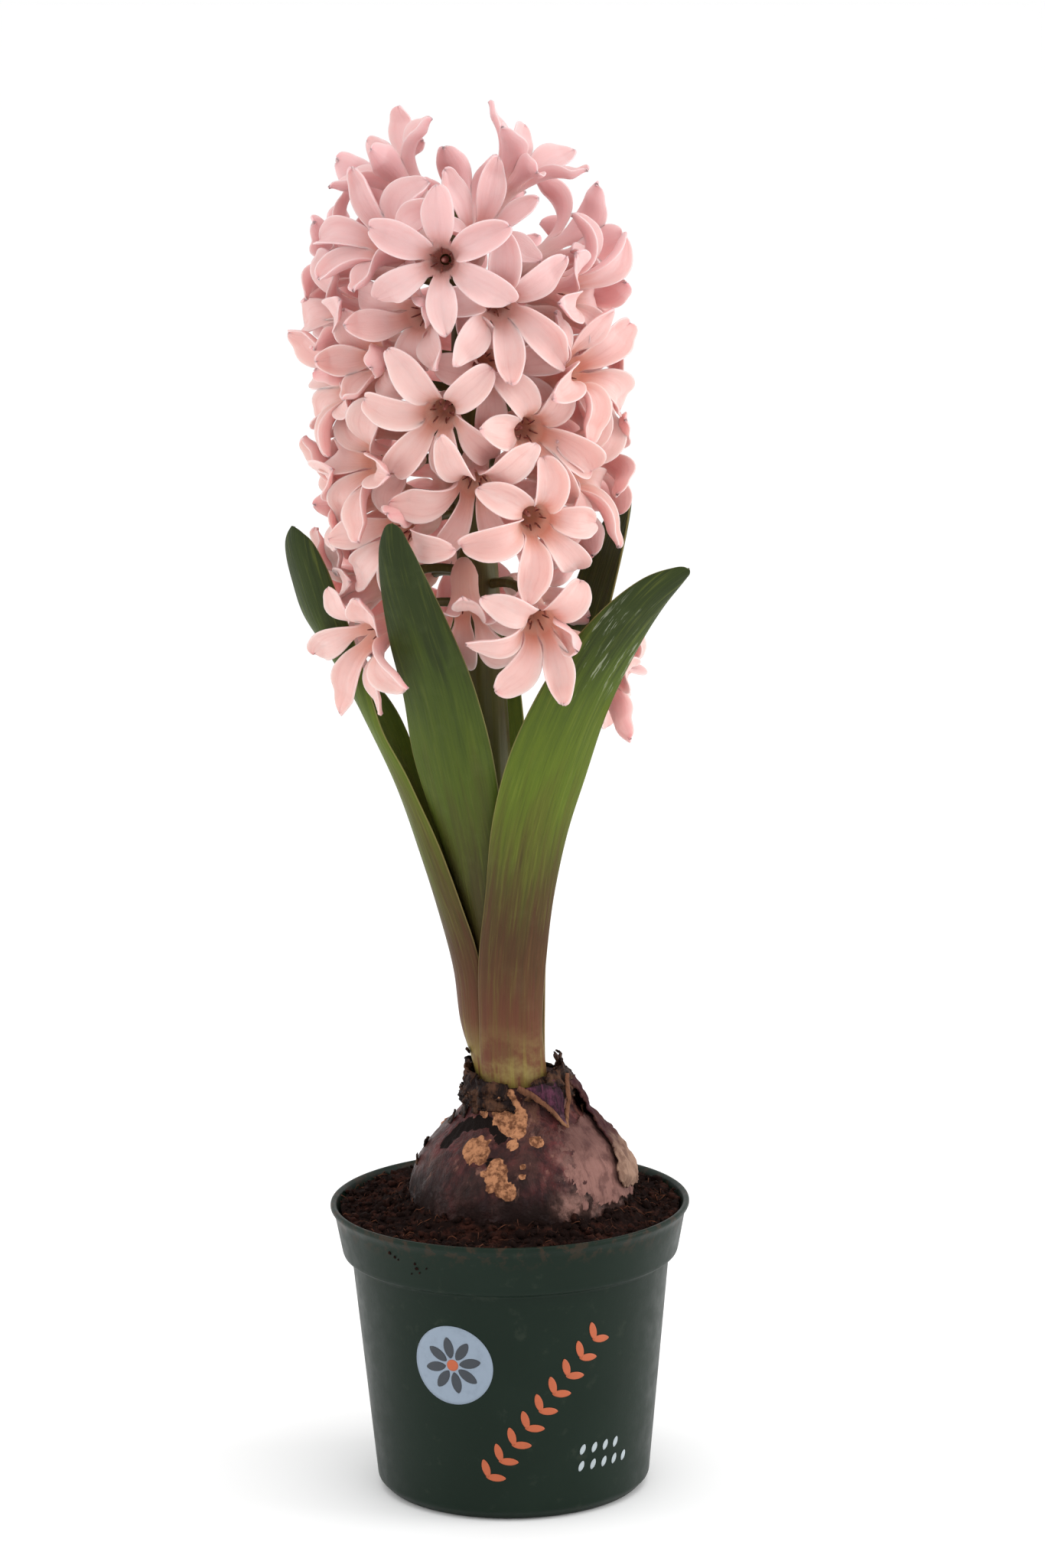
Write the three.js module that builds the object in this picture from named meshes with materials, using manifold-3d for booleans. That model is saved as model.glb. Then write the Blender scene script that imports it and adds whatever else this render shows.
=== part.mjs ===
// A potted hyacinth in flower: a plastic nursery pot, potting soil, a half sunk bulb
// with its dry tunic scales, five channelled leaves, and one flower stem with its florets.
// Millimetres, +Z up, -Y is the front. The origin is the middle of the pot's flat underside.

import * as THREE from 'three';
import { mergeVertices } from 'three/addons/utils/BufferGeometryUtils.js';
import Module from 'manifold-3d';

const wasm = await Module();
wasm.setup();

// Every neighbour that is seated on or in another keeps this gap to it.
const SEAT_GAP = 0.35;

// Pot: a 9 cm nursery pot with a rolled lip, a deep band and a tapered wall.
const POT_HEIGHT = 73.5;
const POT_RIM_RADIUS = 45;
const POT_LIP_DROP = 2.8;
const POT_LIP_RADIUS = 43.9;
const POT_BAND_DROP = 12.9;
const POT_BAND_RADIUS = 42.1;
const POT_WALL_TOP_RADIUS = 39.8;
const POT_BASE_RADIUS = 34.2;
const POT_BASE_CORNER = 2.4;
const POT_WALL = 1.3;
const POT_FLOOR = 1.6;
const POT_BAND_EDGE = 0.4;
const POT_INSIDE_STEP = 0.9;
const POT_LIP_EDGE = 1;
const POT_RIM_BEVEL = 0.3;
const POT_RIM_FLAT = 0.9;
const POT_SEGMENTS = 44;
const POT_CORNER_STEPS = 3;
const DRAIN_HOLES = 6;
const DRAIN_HOLE_RADIUS = 3.2;
const DRAIN_HOLE_CIRCLE = 22;
const DRAIN_HOLE_SIDES = 8;
const DRAIN_CUT = 10;

// Potting soil: its top is a low mound, as radius and share of the mound, with soft lumps
// between two radii.
const SOIL_LEVEL = 71.8;
const SOIL_EDGE_LEVEL = 71.2;
const SOIL_MOUND = 1.5;
const SOIL_TOP = [
  [38, 0],
  [33, 0.4],
  [24, 1],
  [0, 1],
];
const SOIL_LUMP = 0.5;
const SOIL_LUMPS_FROM = 20;
const SOIL_LUMPS_TO = 40;
const SOIL_SEGMENTS = 32;

// Bulb: its middle stands a little right of the pot's middle.
const BULB_X = 2.6;
const BULB_SEGMENTS = 28;
const BULB_BOTTOM = 46;
const BULB_RADIUS = 28.1;
const BULB_WIDEST = 71;
const BULB_RIM_HEIGHT = 104.6;
const NECK_FOOT = 97.4;
const NECK_RADIUS = 12.4;
const NECK_SPREAD = 0.5;
const NECK_BEND_DROP = 2.4;
const NECK_HOLE_RADIUS = 10.5;
const NECK_HOLE_FLARE = 0.8;
const NECK_HOLE_LIP = 0.4;
const NECK_FLOOR = 93;
const BULB_OUTLINE = [
  [10, 46.6],
  [17, 50],
  [23, 56],
  [27, 64],
  [BULB_RADIUS, BULB_WIDEST],
  [27.8, 76.5],
  [26.2, 82.4],
  [22.6, 88.6],
  [18.2, 93.4],
  [14.6, NECK_FOOT],
];

// Dry tunic scales: azimuths and heights that each spans, stand-off at its foot and head,
// and depth of its torn edge.
const SCALE_THICKNESS = 0.7;
const SCALE_ROWS = 6;
const SCALE_COLUMNS = 8;
const SCALE_TAPER = 0.14;
const TEAR_WAVES = [17, 41];
const FINE_TEAR = 0.6;
const HEAD_TEAR = 0.7;
const SCALES = {
  tunic_right: { from: -62, to: 34, low: 73.5, high: 100.5, lift: [0.5, 2.2], tear: 1.4 },
  neck_scale_right: { from: -75, to: -5, low: 100.6, high: 108.6, lift: [0.5, 1.1], tear: 1.1 },
  neck_scale_left: { from: 150, to: 262, low: 100, high: 109.6, lift: [0.5, 0.6], tear: 1.1 },
};

// Flower stem: it leans left and straightens as it rises, x = start + slope h + bend h^2,
// where h is the height over the neck's floor.
const STEM_START_X = 2.53;
const STEM_SLOPE = -0.0752;
const STEM_BEND = 0.0001225;
const STEM_FOOT = 93.8;
const LEAF_FOOT = 94;
const STEM_TIP = 326;
const STEM_SIDES = 8;
const STEM_RADII = [
  [STEM_FOOT, 5.1],
  [150, 5.2],
  [210, 5.2],
  [255, 4.6],
  [290, 3.6],
  [315, 2.6],
  [STEM_TIP, 1.6],
];

// Leaves: nested in the neck as arcs round the stem, then opening into channelled blades.
// A station is height, x, y of the keel, width along the arc, facing azimuth of the outer
// face in degrees, and half the angle of the channel's arc in degrees.
const LEAF_THICKNESS = 1.8;
const LEAF_EDGE_THICKNESS = 0.8;
const LEAF_THINS_BELOW = 8;
const LEAF_TIP_SHARE = 0.55;
const LEAF_ARC_STEPS = 6;
const LEAVES = {
  leaf_front_right: [
    [LEAF_FOOT, 1.9, -9.8, 19.0, 266, 56],
    [106, 1.1, -10.0, 20.2, 265, 57],
    [118, 0.8, -10.0, 17.8, 268, 41],
    [135, 1.4, -11.0, 18.5, 270, 39],
    [152, 3.6, -13.2, 18.8, 274, 40],
    [170, 6.6, -16.4, 20.6, 280, 33],
    [186, 11.1, -19.6, 21.6, 285, 28],
    [200, 16.4, -22.4, 20.4, 290, 26],
    [212, 22.4, -25.0, 18.4, 293, 26],
    [223, 29.6, -27.8, 15.2, 296, 28],
    [231.5, 36.8, -30.6, 11.0, 298, 32],
    [236.5, 42.8, -32.8, 5.6, 299, 36],
    [238.2, 45.4, -33.8, 1.8, 299, 36],
  ],
  leaf_front_left: [
    [LEAF_FOOT, -2.9, -5.4, 13.6, 225, 60],
    [106, -3.4, -5.5, 13.6, 225, 58],
    [120, -4.3, -5.4, 13.6, 227, 53],
    [137, -5.2, -5.8, 14.6, 231, 56],
    [155, -7.4, -8.4, 16.8, 240, 36],
    [172, -9.9, -11.6, 19.6, 250, 30],
    [190, -13.0, -17.6, 21.2, 254, 26],
    [207, -16.0, -25.0, 19.4, 254, 26],
    [222, -20.0, -31.8, 17.0, 254, 28],
    [235, -23.4, -36.8, 13.4, 254, 32],
    [244, -25.2, -39.6, 9.6, 254, 36],
    [249.6, -25.6, -41.0, 5.4, 255, 38],
    [251.8, -25.6, -41.4, 1.8, 255, 38],
  ],
  leaf_left: [
    [LEAF_FOOT, -6.5, 3.9, 16.0, 157, 48],
    [106, -7.2, 4.0, 16.0, 157, 48],
    [118, -11.4, 1.3, 20.7, 179, 82],
    [133, -13.2, 0.3, 21.4, 184, 86],
    [148, -16.8, 0.0, 21.6, 180, 83],
    [163, -21.1, -0.6, 21.4, 177, 77],
    [178, -25.8, -0.7, 20.2, 172, 68],
    [193, -31.8, -0.9, 19.8, 169, 66],
    [208, -39.2, -5.1, 17.8, 197, 58],
    [222, -44.9, -6.6, 16.2, 222, 43],
    [233, -48.4, -5.6, 14.6, 226, 41],
    [241, -50.4, -4.6, 10.0, 229, 38],
    [245.4, -50.7, -3.8, 1.8, 230, 36],
  ],
  leaf_right: [
    [LEAF_FOOT, 7.4, 5.6, 12.6, 48, 48],
    [106, 6.9, 6.0, 12.6, 48, 46],
    [120, 6.9, 7.2, 12.8, 46, 43],
    [137, 7.6, 9.0, 13.8, 44, 40],
    [155, 9.4, 11.4, 15.4, 42, 34],
    [172, 12.0, 14.2, 17.2, 40, 30],
    [190, 15.6, 17.2, 18.6, 38, 27],
    [206, 19.6, 19.8, 18.8, 36, 25],
    [220, 23.6, 21.8, 17.6, 35, 25],
    [232, 27.4, 23.4, 14.4, 34, 28],
    [241, 30.4, 24.4, 9.8, 34, 32],
    [246.2, 32.0, 24.8, 5.4, 34, 36],
    [248.4, 32.4, 25.0, 1.8, 34, 36],
  ],
  leaf_back: [
    [LEAF_FOOT, 5.2, 9.7, 12.0, 74, 36],
    [106, 4.4, 10.1, 12.0, 76, 36],
    [120, 3.2, 11.6, 12.6, 80, 36],
    [137, 2.0, 14.0, 13.8, 82, 34],
    [155, 0.2, 18.0, 15.4, 86, 31],
    [172, -1.6, 22.4, 17.2, 90, 28],
    [189, -3.4, 27.6, 18.4, 92, 26],
    [204, -5.0, 32.8, 18.0, 94, 26],
    [217, -6.4, 37.8, 15.8, 95, 28],
    [228, -7.6, 42.2, 12.4, 96, 32],
    [235.6, -8.4, 45.2, 7.6, 96, 36],
    [239.2, -8.8, 46.6, 1.8, 96, 36],
  ],
};

// Florets: a tube with six tepals in two whorls of three.
const FLORET_COUNT = 44;
const TUBE_LENGTH = 12;
const TUBE_FOOT_RADIUS = 1.9;
const TUBE_BULGE_RADIUS = 3.4;
const TUBE_BULGE_HEIGHT = 4;
const MOUTH_RADIUS = 4.6;
const MOUTH_POINTS = 12;
const THROAT_RADIUS = 3.7;
const THROAT_RISE = 0.3;
const THROAT_DEPTH = 8;
const TEPALS = 6;
const TEPAL_SPACING = 360 / TEPALS;
const TEPAL_LENGTH = 18.4;
const TEPAL_BASE_HALF_WIDTH = 1.6;
const TEPAL_HALF_WIDTH = 3.9;
const TEPAL_WIDEST = 0.6;
const TEPAL_HALF_THICKNESS = 0.66;
const TEPAL_CHANNEL = 0.26;
const TEPAL_TIP_BLUNT = 1.9;
const TEPAL_TIP_ROUND = 0.65;
const TEPAL_LINE_STEPS = 30;
const TEPAL_START_ANGLE = 20;
const TEPAL_LAST_ANGLE = 172;
const OUTER_WHORL_ANGLE = 132;
const INNER_WHORL_ANGLE = 104;

// No two tepals are quite alike: their end angles, the way they lean and their lengths
// sway a little from one to the next.
const ANGLE_SWAY = 15;
const LEAN_SWAY = 5;
const LENGTH_SWAY = 0.07;
const ANGLE_BEAT = 2.4;
const LEAN_BEAT = 1.7;
const LENGTH_BEAT = 4.1;

// A tepal starts to lean only past its root, in full from this share of its length.
const SWING_SETS_IN = 0.5;
const TEPAL_STATIONS = [0.3, 0.6, 0.87];
const PEDICEL_RADIUS = 1.25;
const PEDICEL_SIDES = 4;
const PEDICEL_DROP = 3;
const PEDICEL_NOD = 5;
const PEDICEL_BELOW_TIP = 3;

// Florets that the front shows, by hand: height, azimuth and radius of the throat about
// the stem, then azimuth and elevation of the way that it faces, and its turn in degrees.
// Those of the crown, over CROWN_FROM, are smaller and less open.
const CROWN_FROM = 315;
const CROWN_SIZE = 0.9;
const CROWN_OPENS = 0.66;
const FRONT_FLORETS = [
  [313, 261, 30, 266, 6, 30],
  [302, 287, 28, 282, -2, 35],
  [299.5, 247, 25.5, 242, -4, 20],
  [287, 282, 23, 294, 2, 10],
  [284, 327, 29, 322, 18, 20],
  [276, 257, 28, 260, -8, 45],
  [271, 300, 28, 293, -4, 45],
  [259.5, 272, 27, 270, -30, 0],
  [250, 298, 31, 287, -6, 12],
  [225, 299, 29, 287, -24, 5],
  [228, 262, 22, 274, -56, 20],
  [221, 214, 30, 222, -20, 45],
  [209, 352, 29, 355, -45, 20],
  [327.5, 182, 12.5, 184, 50, 0],
  [328.5, 352, 12, 344, 54, 30],
  [316, 284, 17, 288, 40, 10],
  [316, 86, 18, 86, 40, 10],
];
const HEAD_LOW = 222;
const HEAD_HIGH = 319;
const THROAT_CIRCLE = 26.8;
const THROAT_CIRCLE_TOP = 22;
const HEAD_SHOULDER = 302;
const HEAD_REACH = 38.5;

// How florets face: they nod low on the head, level out and look up over the shoulder.
const NOD_LOW = -22;
const NOD_RISE = 24;
const NOD_SPAN = 40;
const SHOULDER_RISE = 36;
const MIDDLE_ROOM = 1.25;
const FOOT_ROOM = 1.7;

// The gap in the head's low right side, where leaf_right shows: the azimuth where it
// starts, how many degrees it spans, and its top.
const GAP_FROM = 304;
const GAP_SPAN = 108;
const GAP_TOP = 258;
const CANDIDATES = 90;
const SEED = 101;

// Ways a tepal may bend to keep clear of its neighbours: turn of its end angle, swing to
// the side and share of its full length.
const BEND_TURNS = [0, -24, 24, -48, 44, -70];
const SWINGS = [0, 12, -12, 24, -24];
const LENGTH_SHARES = [1, 0.84, 0.68];
const TEPAL_CLEARANCE = 2.45;
const OWN_CLEARANCE = 1.6;
const BAR_CLEARANCE = 1.5;
const BLADE_CLEARANCE = 2.9;
const TURN_COST = 1 / 60;
const SWING_COST = 1 / 40;
const SHORT_COST = 6;
const REACH_WEIGHT = 0.2;
const TEPAL_WEIGHT = 40;
const STANDING_WEIGHT = 60;
const TUBE_BAR_RADIUS = 3.9;
const STEM_BAR_FROM = 200;
const STEM_BAR_LENGTH = 10;
const BAR_SEARCH = 45;
const BLADE_SEARCH = 24;
const TEPAL_SEARCH = 2 * TEPAL_LENGTH + 12;
const BLADE_FIRST_STATION = 5;
const BLADE_PARTS = 6;
const SAMPLE_ROWS = 9;
const SAMPLE_START = 0.2;
const OWN_SKIP_ROWS = 1;
const SAMPLE_SPREAD = [-0.85, -0.42, 0, 0.42, 0.85];
const SWEEPS = 3;

// Colour and roughness of each material.
const FINISHES = {
  pot: [0x24352b, 0.45],
  soil: [0x2b1a12, 0.95],
  bulb: [0x5a3a38, 0.5],
  tunic: [0x7a5c52, 0.7],
  neckScale: [0x3a2426, 0.8],
  leaf: [0x4f6b2c, 0.45],
  stem: [0x6b7a35, 0.5],
  floret: [0xf2c0b8, 0.55],
};

const RADIANS = Math.PI / 180;

// Mesh helpers.

function vector(x, y, z) {
  return new THREE.Vector3(x, y, z);
}

// A closed body from points and triangles, turned so that its faces point out.
function closedBody(points, faces) {
  let volume = 0;
  for (const [a, b, c] of faces) {
    volume += points[a].dot(points[b].clone().cross(points[c]));
  }
  const index = volume < 0 ? faces.map(([a, b, c]) => [a, c, b]) : faces;
  const geometry = new THREE.BufferGeometry();
  const flat = points.flatMap((p) => [p.x, p.y, p.z]);
  geometry.setAttribute('position', new THREE.Float32BufferAttribute(flat, 3));
  geometry.setIndex(index.flat());
  return geometry;
}

// Rings of equal count joined side to side, with a flat fan over each end.
function loft(rings) {
  const n = rings[0].length;
  const points = rings.flat();
  const faces = [];
  for (let r = 0; r + 1 < rings.length; r += 1) {
    for (let k = 0; k < n; k += 1) {
      const a = r * n + k;
      const b = r * n + ((k + 1) % n);
      faces.push([a, b, b + n], [a, b + n, a + n]);
    }
  }
  const last = (rings.length - 1) * n;
  for (let k = 1; k + 1 < n; k += 1) {
    faces.push([0, k + 1, k], [last, last + k, last + k + 1]);
  }
  return closedBody(points, faces);
}

// A sheet with a thickness: two grids of points, row by row, joined along the outline.
function shell(outer, inner) {
  const rows = outer.length;
  const columns = outer[0].length;
  const points = [...outer.flat(), ...inner.flat()];
  const half = rows * columns;
  const faces = [];
  for (let r = 0; r + 1 < rows; r += 1) {
    for (let c = 0; c + 1 < columns; c += 1) {
      const a = r * columns + c;
      const b = a + 1;
      const d = a + columns;
      const e = d + 1;
      faces.push([a, b, e], [a, e, d]);
      faces.push([half + a, half + e, half + b], [half + a, half + d, half + e]);
    }
  }
  const outline = [];
  for (let c = 0; c < columns; c += 1) outline.push(c);
  for (let r = 1; r < rows; r += 1) outline.push(r * columns + columns - 1);
  for (let c = columns - 2; c >= 0; c -= 1) outline.push((rows - 1) * columns + c);
  for (let r = rows - 2; r > 0; r -= 1) outline.push(r * columns);
  outline.forEach((a, k) => {
    const b = outline[(k + 1) % outline.length];
    faces.push([a, half + a, half + b], [a, half + b, b]);
  });
  return closedBody(points, faces);
}

function toManifold(geometry) {
  const bare = geometry.clone();
  bare.deleteAttribute('normal');
  bare.deleteAttribute('uv');
  const merged = mergeVertices(bare);
  return new wasm.Manifold(
    new wasm.Mesh({
      numProp: 3,
      vertProperties: new Float32Array(merged.attributes.position.array),
      triVerts: new Uint32Array(merged.index.array),
    }),
  );
}

function toGeometry(solid) {
  const mesh = solid.getMesh();
  const geometry = new THREE.BufferGeometry();
  geometry.setAttribute('position', new THREE.BufferAttribute(mesh.vertProperties, 3));
  geometry.setIndex(new THREE.BufferAttribute(mesh.triVerts, 1));
  return geometry;
}

// A body turned about the Z axis from a closed outline of [radius, height] points.
function turned(outline, segments) {
  const profile = outline.map(([radius, height]) => new THREE.Vector2(radius, height));
  const geometry = new THREE.LatheGeometry(profile, segments);
  geometry.rotateX(Math.PI / 2);
  return geometry;
}

function between(table, at) {
  if (at <= table[0][0]) return table[0][1];
  for (let k = 1; k < table.length; k += 1) {
    const [x1, y1] = table[k];
    const [x0, y0] = table[k - 1];
    if (at <= x1) return y0 + ((y1 - y0) * (at - x0)) / (x1 - x0);
  }
  return table[table.length - 1][1];
}

function smooth(t) {
  const s = Math.min(1, Math.max(0, t));
  return s * s * (3 - 2 * s);
}

// Seeded whole-number generator, so that each run gives the same plant.
let seed = SEED;
function random() {
  seed = (seed * 16807) % 2147483647;
  return seed / 2147483647;
}

const group = new THREE.Group();

function add(name, geometry, [colour, roughness]) {
  const material = new THREE.MeshStandardMaterial({ color: colour, roughness, metalness: 0 });
  const mesh = new THREE.Mesh(geometry, material);
  mesh.name = name;
  group.add(mesh);
}

// Pot.

function potWallRadius(height) {
  const top = POT_HEIGHT - POT_BAND_DROP;
  return POT_BASE_RADIUS + ((POT_WALL_TOP_RADIUS - POT_BASE_RADIUS) * height) / top;
}

function pot() {
  const band = POT_HEIGHT - POT_BAND_DROP;
  const lip = POT_HEIGHT - POT_LIP_DROP;
  const outline = [[0, 0]];
  for (let k = 0; k <= POT_CORNER_STEPS; k += 1) {
    const a = ((k / POT_CORNER_STEPS) * 90 - 90) * RADIANS;
    const centre = POT_BASE_RADIUS - POT_BASE_CORNER;
    outline.push([centre + POT_BASE_CORNER * Math.cos(a), POT_BASE_CORNER * (1 + Math.sin(a))]);
  }
  outline.push(
    [POT_WALL_TOP_RADIUS, band - POT_BAND_EDGE],
    [POT_BAND_RADIUS, band],
    [POT_LIP_RADIUS, lip],
    [POT_RIM_RADIUS, POT_HEIGHT - POT_LIP_EDGE],
    [POT_RIM_RADIUS - POT_RIM_BEVEL, POT_HEIGHT],
    [POT_RIM_RADIUS - POT_RIM_BEVEL - POT_RIM_FLAT, POT_HEIGHT],
    [POT_LIP_RADIUS - POT_WALL, lip - POT_RIM_BEVEL],
    [POT_BAND_RADIUS - POT_WALL, band + POT_INSIDE_STEP],
    [POT_WALL_TOP_RADIUS - POT_WALL, band - POT_INSIDE_STEP],
    [potWallRadius(POT_FLOOR) - POT_WALL, POT_FLOOR],
    [0, POT_FLOOR],
  );
  let solid = toManifold(turned(outline, POT_SEGMENTS));
  for (let k = 0; k < DRAIN_HOLES; k += 1) {
    const hole = new THREE.CylinderGeometry(
      DRAIN_HOLE_RADIUS,
      DRAIN_HOLE_RADIUS,
      DRAIN_CUT,
      DRAIN_HOLE_SIDES,
    );
    hole.rotateX(Math.PI / 2);
    const a = (k / DRAIN_HOLES) * 2 * Math.PI;
    hole.translate(DRAIN_HOLE_CIRCLE * Math.cos(a), DRAIN_HOLE_CIRCLE * Math.sin(a), 0);
    solid = solid.subtract(toManifold(hole));
  }
  return toGeometry(solid);
}

// Soil and bulb.

// The bulb's side, or the same side grown outwards to leave its seat in the soil.
function bulbOutline(grow) {
  const outline = [[0, BULB_BOTTOM - grow]];
  for (const [radius, height] of BULB_OUTLINE) {
    const down = height < BULB_WIDEST ? grow * 0.6 : 0;
    outline.push([radius + grow, height - down]);
  }
  return outline;
}

function bulb() {
  const outline = [
    ...bulbOutline(0),
    [NECK_RADIUS + NECK_SPREAD, BULB_RIM_HEIGHT - NECK_BEND_DROP],
    [NECK_RADIUS, BULB_RIM_HEIGHT],
    [NECK_HOLE_RADIUS + NECK_HOLE_FLARE, BULB_RIM_HEIGHT + NECK_HOLE_LIP],
    [NECK_HOLE_RADIUS, NECK_FLOOR],
    [0, NECK_FLOOR],
  ];
  const geometry = turned(outline, BULB_SEGMENTS);
  geometry.translate(BULB_X, 0, 0);
  return toGeometry(toManifold(geometry));
}

function soil() {
  const band = POT_HEIGHT - POT_BAND_DROP;
  const inside = POT_WALL + SEAT_GAP;
  const low = POT_FLOOR + SEAT_GAP;
  const outline = [
    [0, low],
    [potWallRadius(low) - inside, low],
    [POT_WALL_TOP_RADIUS - inside, band - POT_INSIDE_STEP],
    [POT_BAND_RADIUS - inside, band + POT_INSIDE_STEP + SEAT_GAP],
    [POT_LIP_RADIUS - inside - SEAT_GAP, SOIL_EDGE_LEVEL],
    ...SOIL_TOP.map(([radius, share]) => [radius, SOIL_LEVEL + SOIL_MOUND * share]),
  ];
  const grown = bulbOutline(SEAT_GAP);
  grown.push([0, NECK_FOOT]);
  const hollow = turned(grown, BULB_SEGMENTS);
  hollow.translate(BULB_X, 0, 0);
  const body = turned(outline, SOIL_SEGMENTS);
  const lumps = body.attributes.position;
  for (let k = 0; k < lumps.count; k += 1) {
    const x = lumps.getX(k);
    const y = lumps.getY(k);
    const radius = Math.hypot(x, y);
    const between = radius > SOIL_LUMPS_FROM && radius < SOIL_LUMPS_TO;
    if (between && lumps.getZ(k) > SOIL_EDGE_LEVEL + SEAT_GAP) {
      const wave = Math.sin(x * 0.41 + 1.1) * Math.cos(y * 0.37 - 0.6);
      lumps.setZ(k, lumps.getZ(k) + SOIL_LUMP * wave);
    }
  }
  return toGeometry(toManifold(body).subtract(toManifold(hollow)));
}

// Dry tunic scales: thin sheets that lie over the bulb and stand off towards the neck.

function bulbRadius(height) {
  const table = BULB_OUTLINE.map(([radius, z]) => [z, radius]);
  table.push([BULB_RIM_HEIGHT - NECK_BEND_DROP, NECK_RADIUS + NECK_SPREAD]);
  table.push([BULB_RIM_HEIGHT, NECK_RADIUS]);
  return between(table, height);
}

// A scale's foot and head are torn by a coarse and a fine wave.
function tunicScale({ from, to, low, high, lift, tear }) {
  const outer = [];
  const inner = [];
  for (let r = 0; r <= SCALE_ROWS; r += 1) {
    const up = r / SCALE_ROWS;
    const outerRow = [];
    const innerRow = [];
    for (let c = 0; c <= SCALE_COLUMNS; c += 1) {
      const across = c / SCALE_COLUMNS;
      const coarse = Math.sin(across * TEAR_WAVES[0] + from);
      const fine = Math.sin(across * TEAR_WAVES[1] + to);
      const edge = tear * (coarse + FINE_TEAR * fine);
      const foot = low + Math.max(0, edge);
      const head = high + HEAD_TEAR * edge;
      const height = foot + (head - foot) * up;
      const side = 1 - SCALE_TAPER * Math.abs(2 * across - 1) * up;
      const azimuth = (from + to) / 2 + (to - from) * (across - 0.5) * side;
      const x = Math.cos(azimuth * RADIANS);
      const y = Math.sin(azimuth * RADIANS);
      const radius = bulbRadius(height) + lift[0] + (lift[1] - lift[0]) * smooth(up);
      const face = radius + SCALE_THICKNESS;
      outerRow.push(vector(BULB_X + face * x, face * y, height));
      innerRow.push(vector(BULB_X + radius * x, radius * y, height));
    }
    outer.push(outerRow);
    inner.push(innerRow);
  }
  return shell(outer, inner);
}

// Leaves.

// Rows of points over a leaf's outer and inner face, from the foot to the tip.
function leafFaces(stations) {
  const keel = stations.map(([z, x, y]) => vector(x, y, z));
  const outer = [];
  const inner = [];
  stations.forEach(([, , , width, facing, arc], k) => {
    const before = keel[Math.max(0, k - 1)];
    const after = keel[Math.min(keel.length - 1, k + 1)];
    const along = after.clone().sub(before).normalize();
    const outward = vector(Math.cos(facing * RADIANS), Math.sin(facing * RADIANS), 0);
    const side = along.clone().cross(outward).normalize();
    const normal = side.clone().cross(along).normalize();
    const radius = width / (2 * arc * RADIANS);
    const narrow = Math.min(1, width / LEAF_THINS_BELOW);
    const outerRow = [];
    const innerRow = [];
    for (let c = 0; c <= LEAF_ARC_STEPS; c += 1) {
      const across = (2 * c) / LEAF_ARC_STEPS - 1;
      const a = arc * RADIANS * across;
      const fall = (LEAF_THICKNESS - LEAF_EDGE_THICKNESS) * across * across;
      const thick = (LEAF_THICKNESS - fall) * (LEAF_TIP_SHARE + (1 - LEAF_TIP_SHARE) * narrow);
      const row = [outerRow, innerRow];
      [0, thick].forEach((depth, face) => {
        const reach = radius - depth;
        const point = keel[k].clone();
        point.addScaledVector(side, reach * Math.sin(a));
        point.addScaledVector(normal, reach * Math.cos(a) - radius);
        row[face].push(point);
      });
    }
    outer.push(outerRow);
    inner.push(innerRow);
  });
  return { outer, inner };
}

// Flower stem.

function stemPoint(height) {
  const h = height - NECK_FLOOR;
  return vector(STEM_START_X + STEM_SLOPE * h + STEM_BEND * h * h, 0, height);
}

function ringAcross(point, along, radius, sides) {
  const level = Math.abs(along.z) < 0.9 ? vector(0, 0, 1) : vector(0, 1, 0);
  const side = along.clone().cross(level).normalize();
  const up = side.clone().cross(along).normalize();
  const ring = [];
  for (let s = 0; s < sides; s += 1) {
    const a = (s / sides) * 2 * Math.PI;
    const spot = point.clone();
    spot.addScaledVector(side, radius * Math.cos(a));
    spot.addScaledVector(up, radius * Math.sin(a));
    ring.push(spot);
  }
  return ring;
}

// Florets: where each stands.

function direction(azimuth, elevation) {
  const level = Math.cos(elevation * RADIANS);
  return vector(
    level * Math.cos(azimuth * RADIANS),
    level * Math.sin(azimuth * RADIANS),
    Math.sin(elevation * RADIANS),
  );
}

function floretPlace([height, azimuth, radius, faceAzimuth, faceElevation, turn], size) {
  const throat = stemPoint(height);
  throat.x += radius * Math.cos(azimuth * RADIANS);
  throat.y += radius * Math.sin(azimuth * RADIANS);
  const axis = direction(faceAzimuth, faceElevation);
  const across = vector(-Math.sin(faceAzimuth * RADIANS), Math.cos(faceAzimuth * RADIANS), 0);
  const above = axis.clone().cross(across).normalize();
  const u = across.clone().multiplyScalar(-Math.cos(turn * RADIANS));
  u.addScaledVector(above, -Math.sin(turn * RADIANS));
  const v = axis.clone().cross(u);
  const foot = throat.clone().addScaledVector(axis, -TUBE_LENGTH * size);
  return { throat, axis, u, v, foot, size };
}

// How much room two florets leave each other, from the mouth down to the foot.
function roomBetween(a, b) {
  const middle = a.throat.clone().lerp(a.foot, 0.5);
  const otherMiddle = b.throat.clone().lerp(b.foot, 0.5);
  return Math.min(
    a.throat.distanceTo(b.throat),
    MIDDLE_ROOM * middle.distanceTo(otherMiddle),
    FOOT_ROOM * a.foot.distanceTo(b.foot),
    FOOT_ROOM * middle.distanceTo(b.foot),
    FOOT_ROOM * a.foot.distanceTo(otherMiddle),
  );
}

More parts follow.
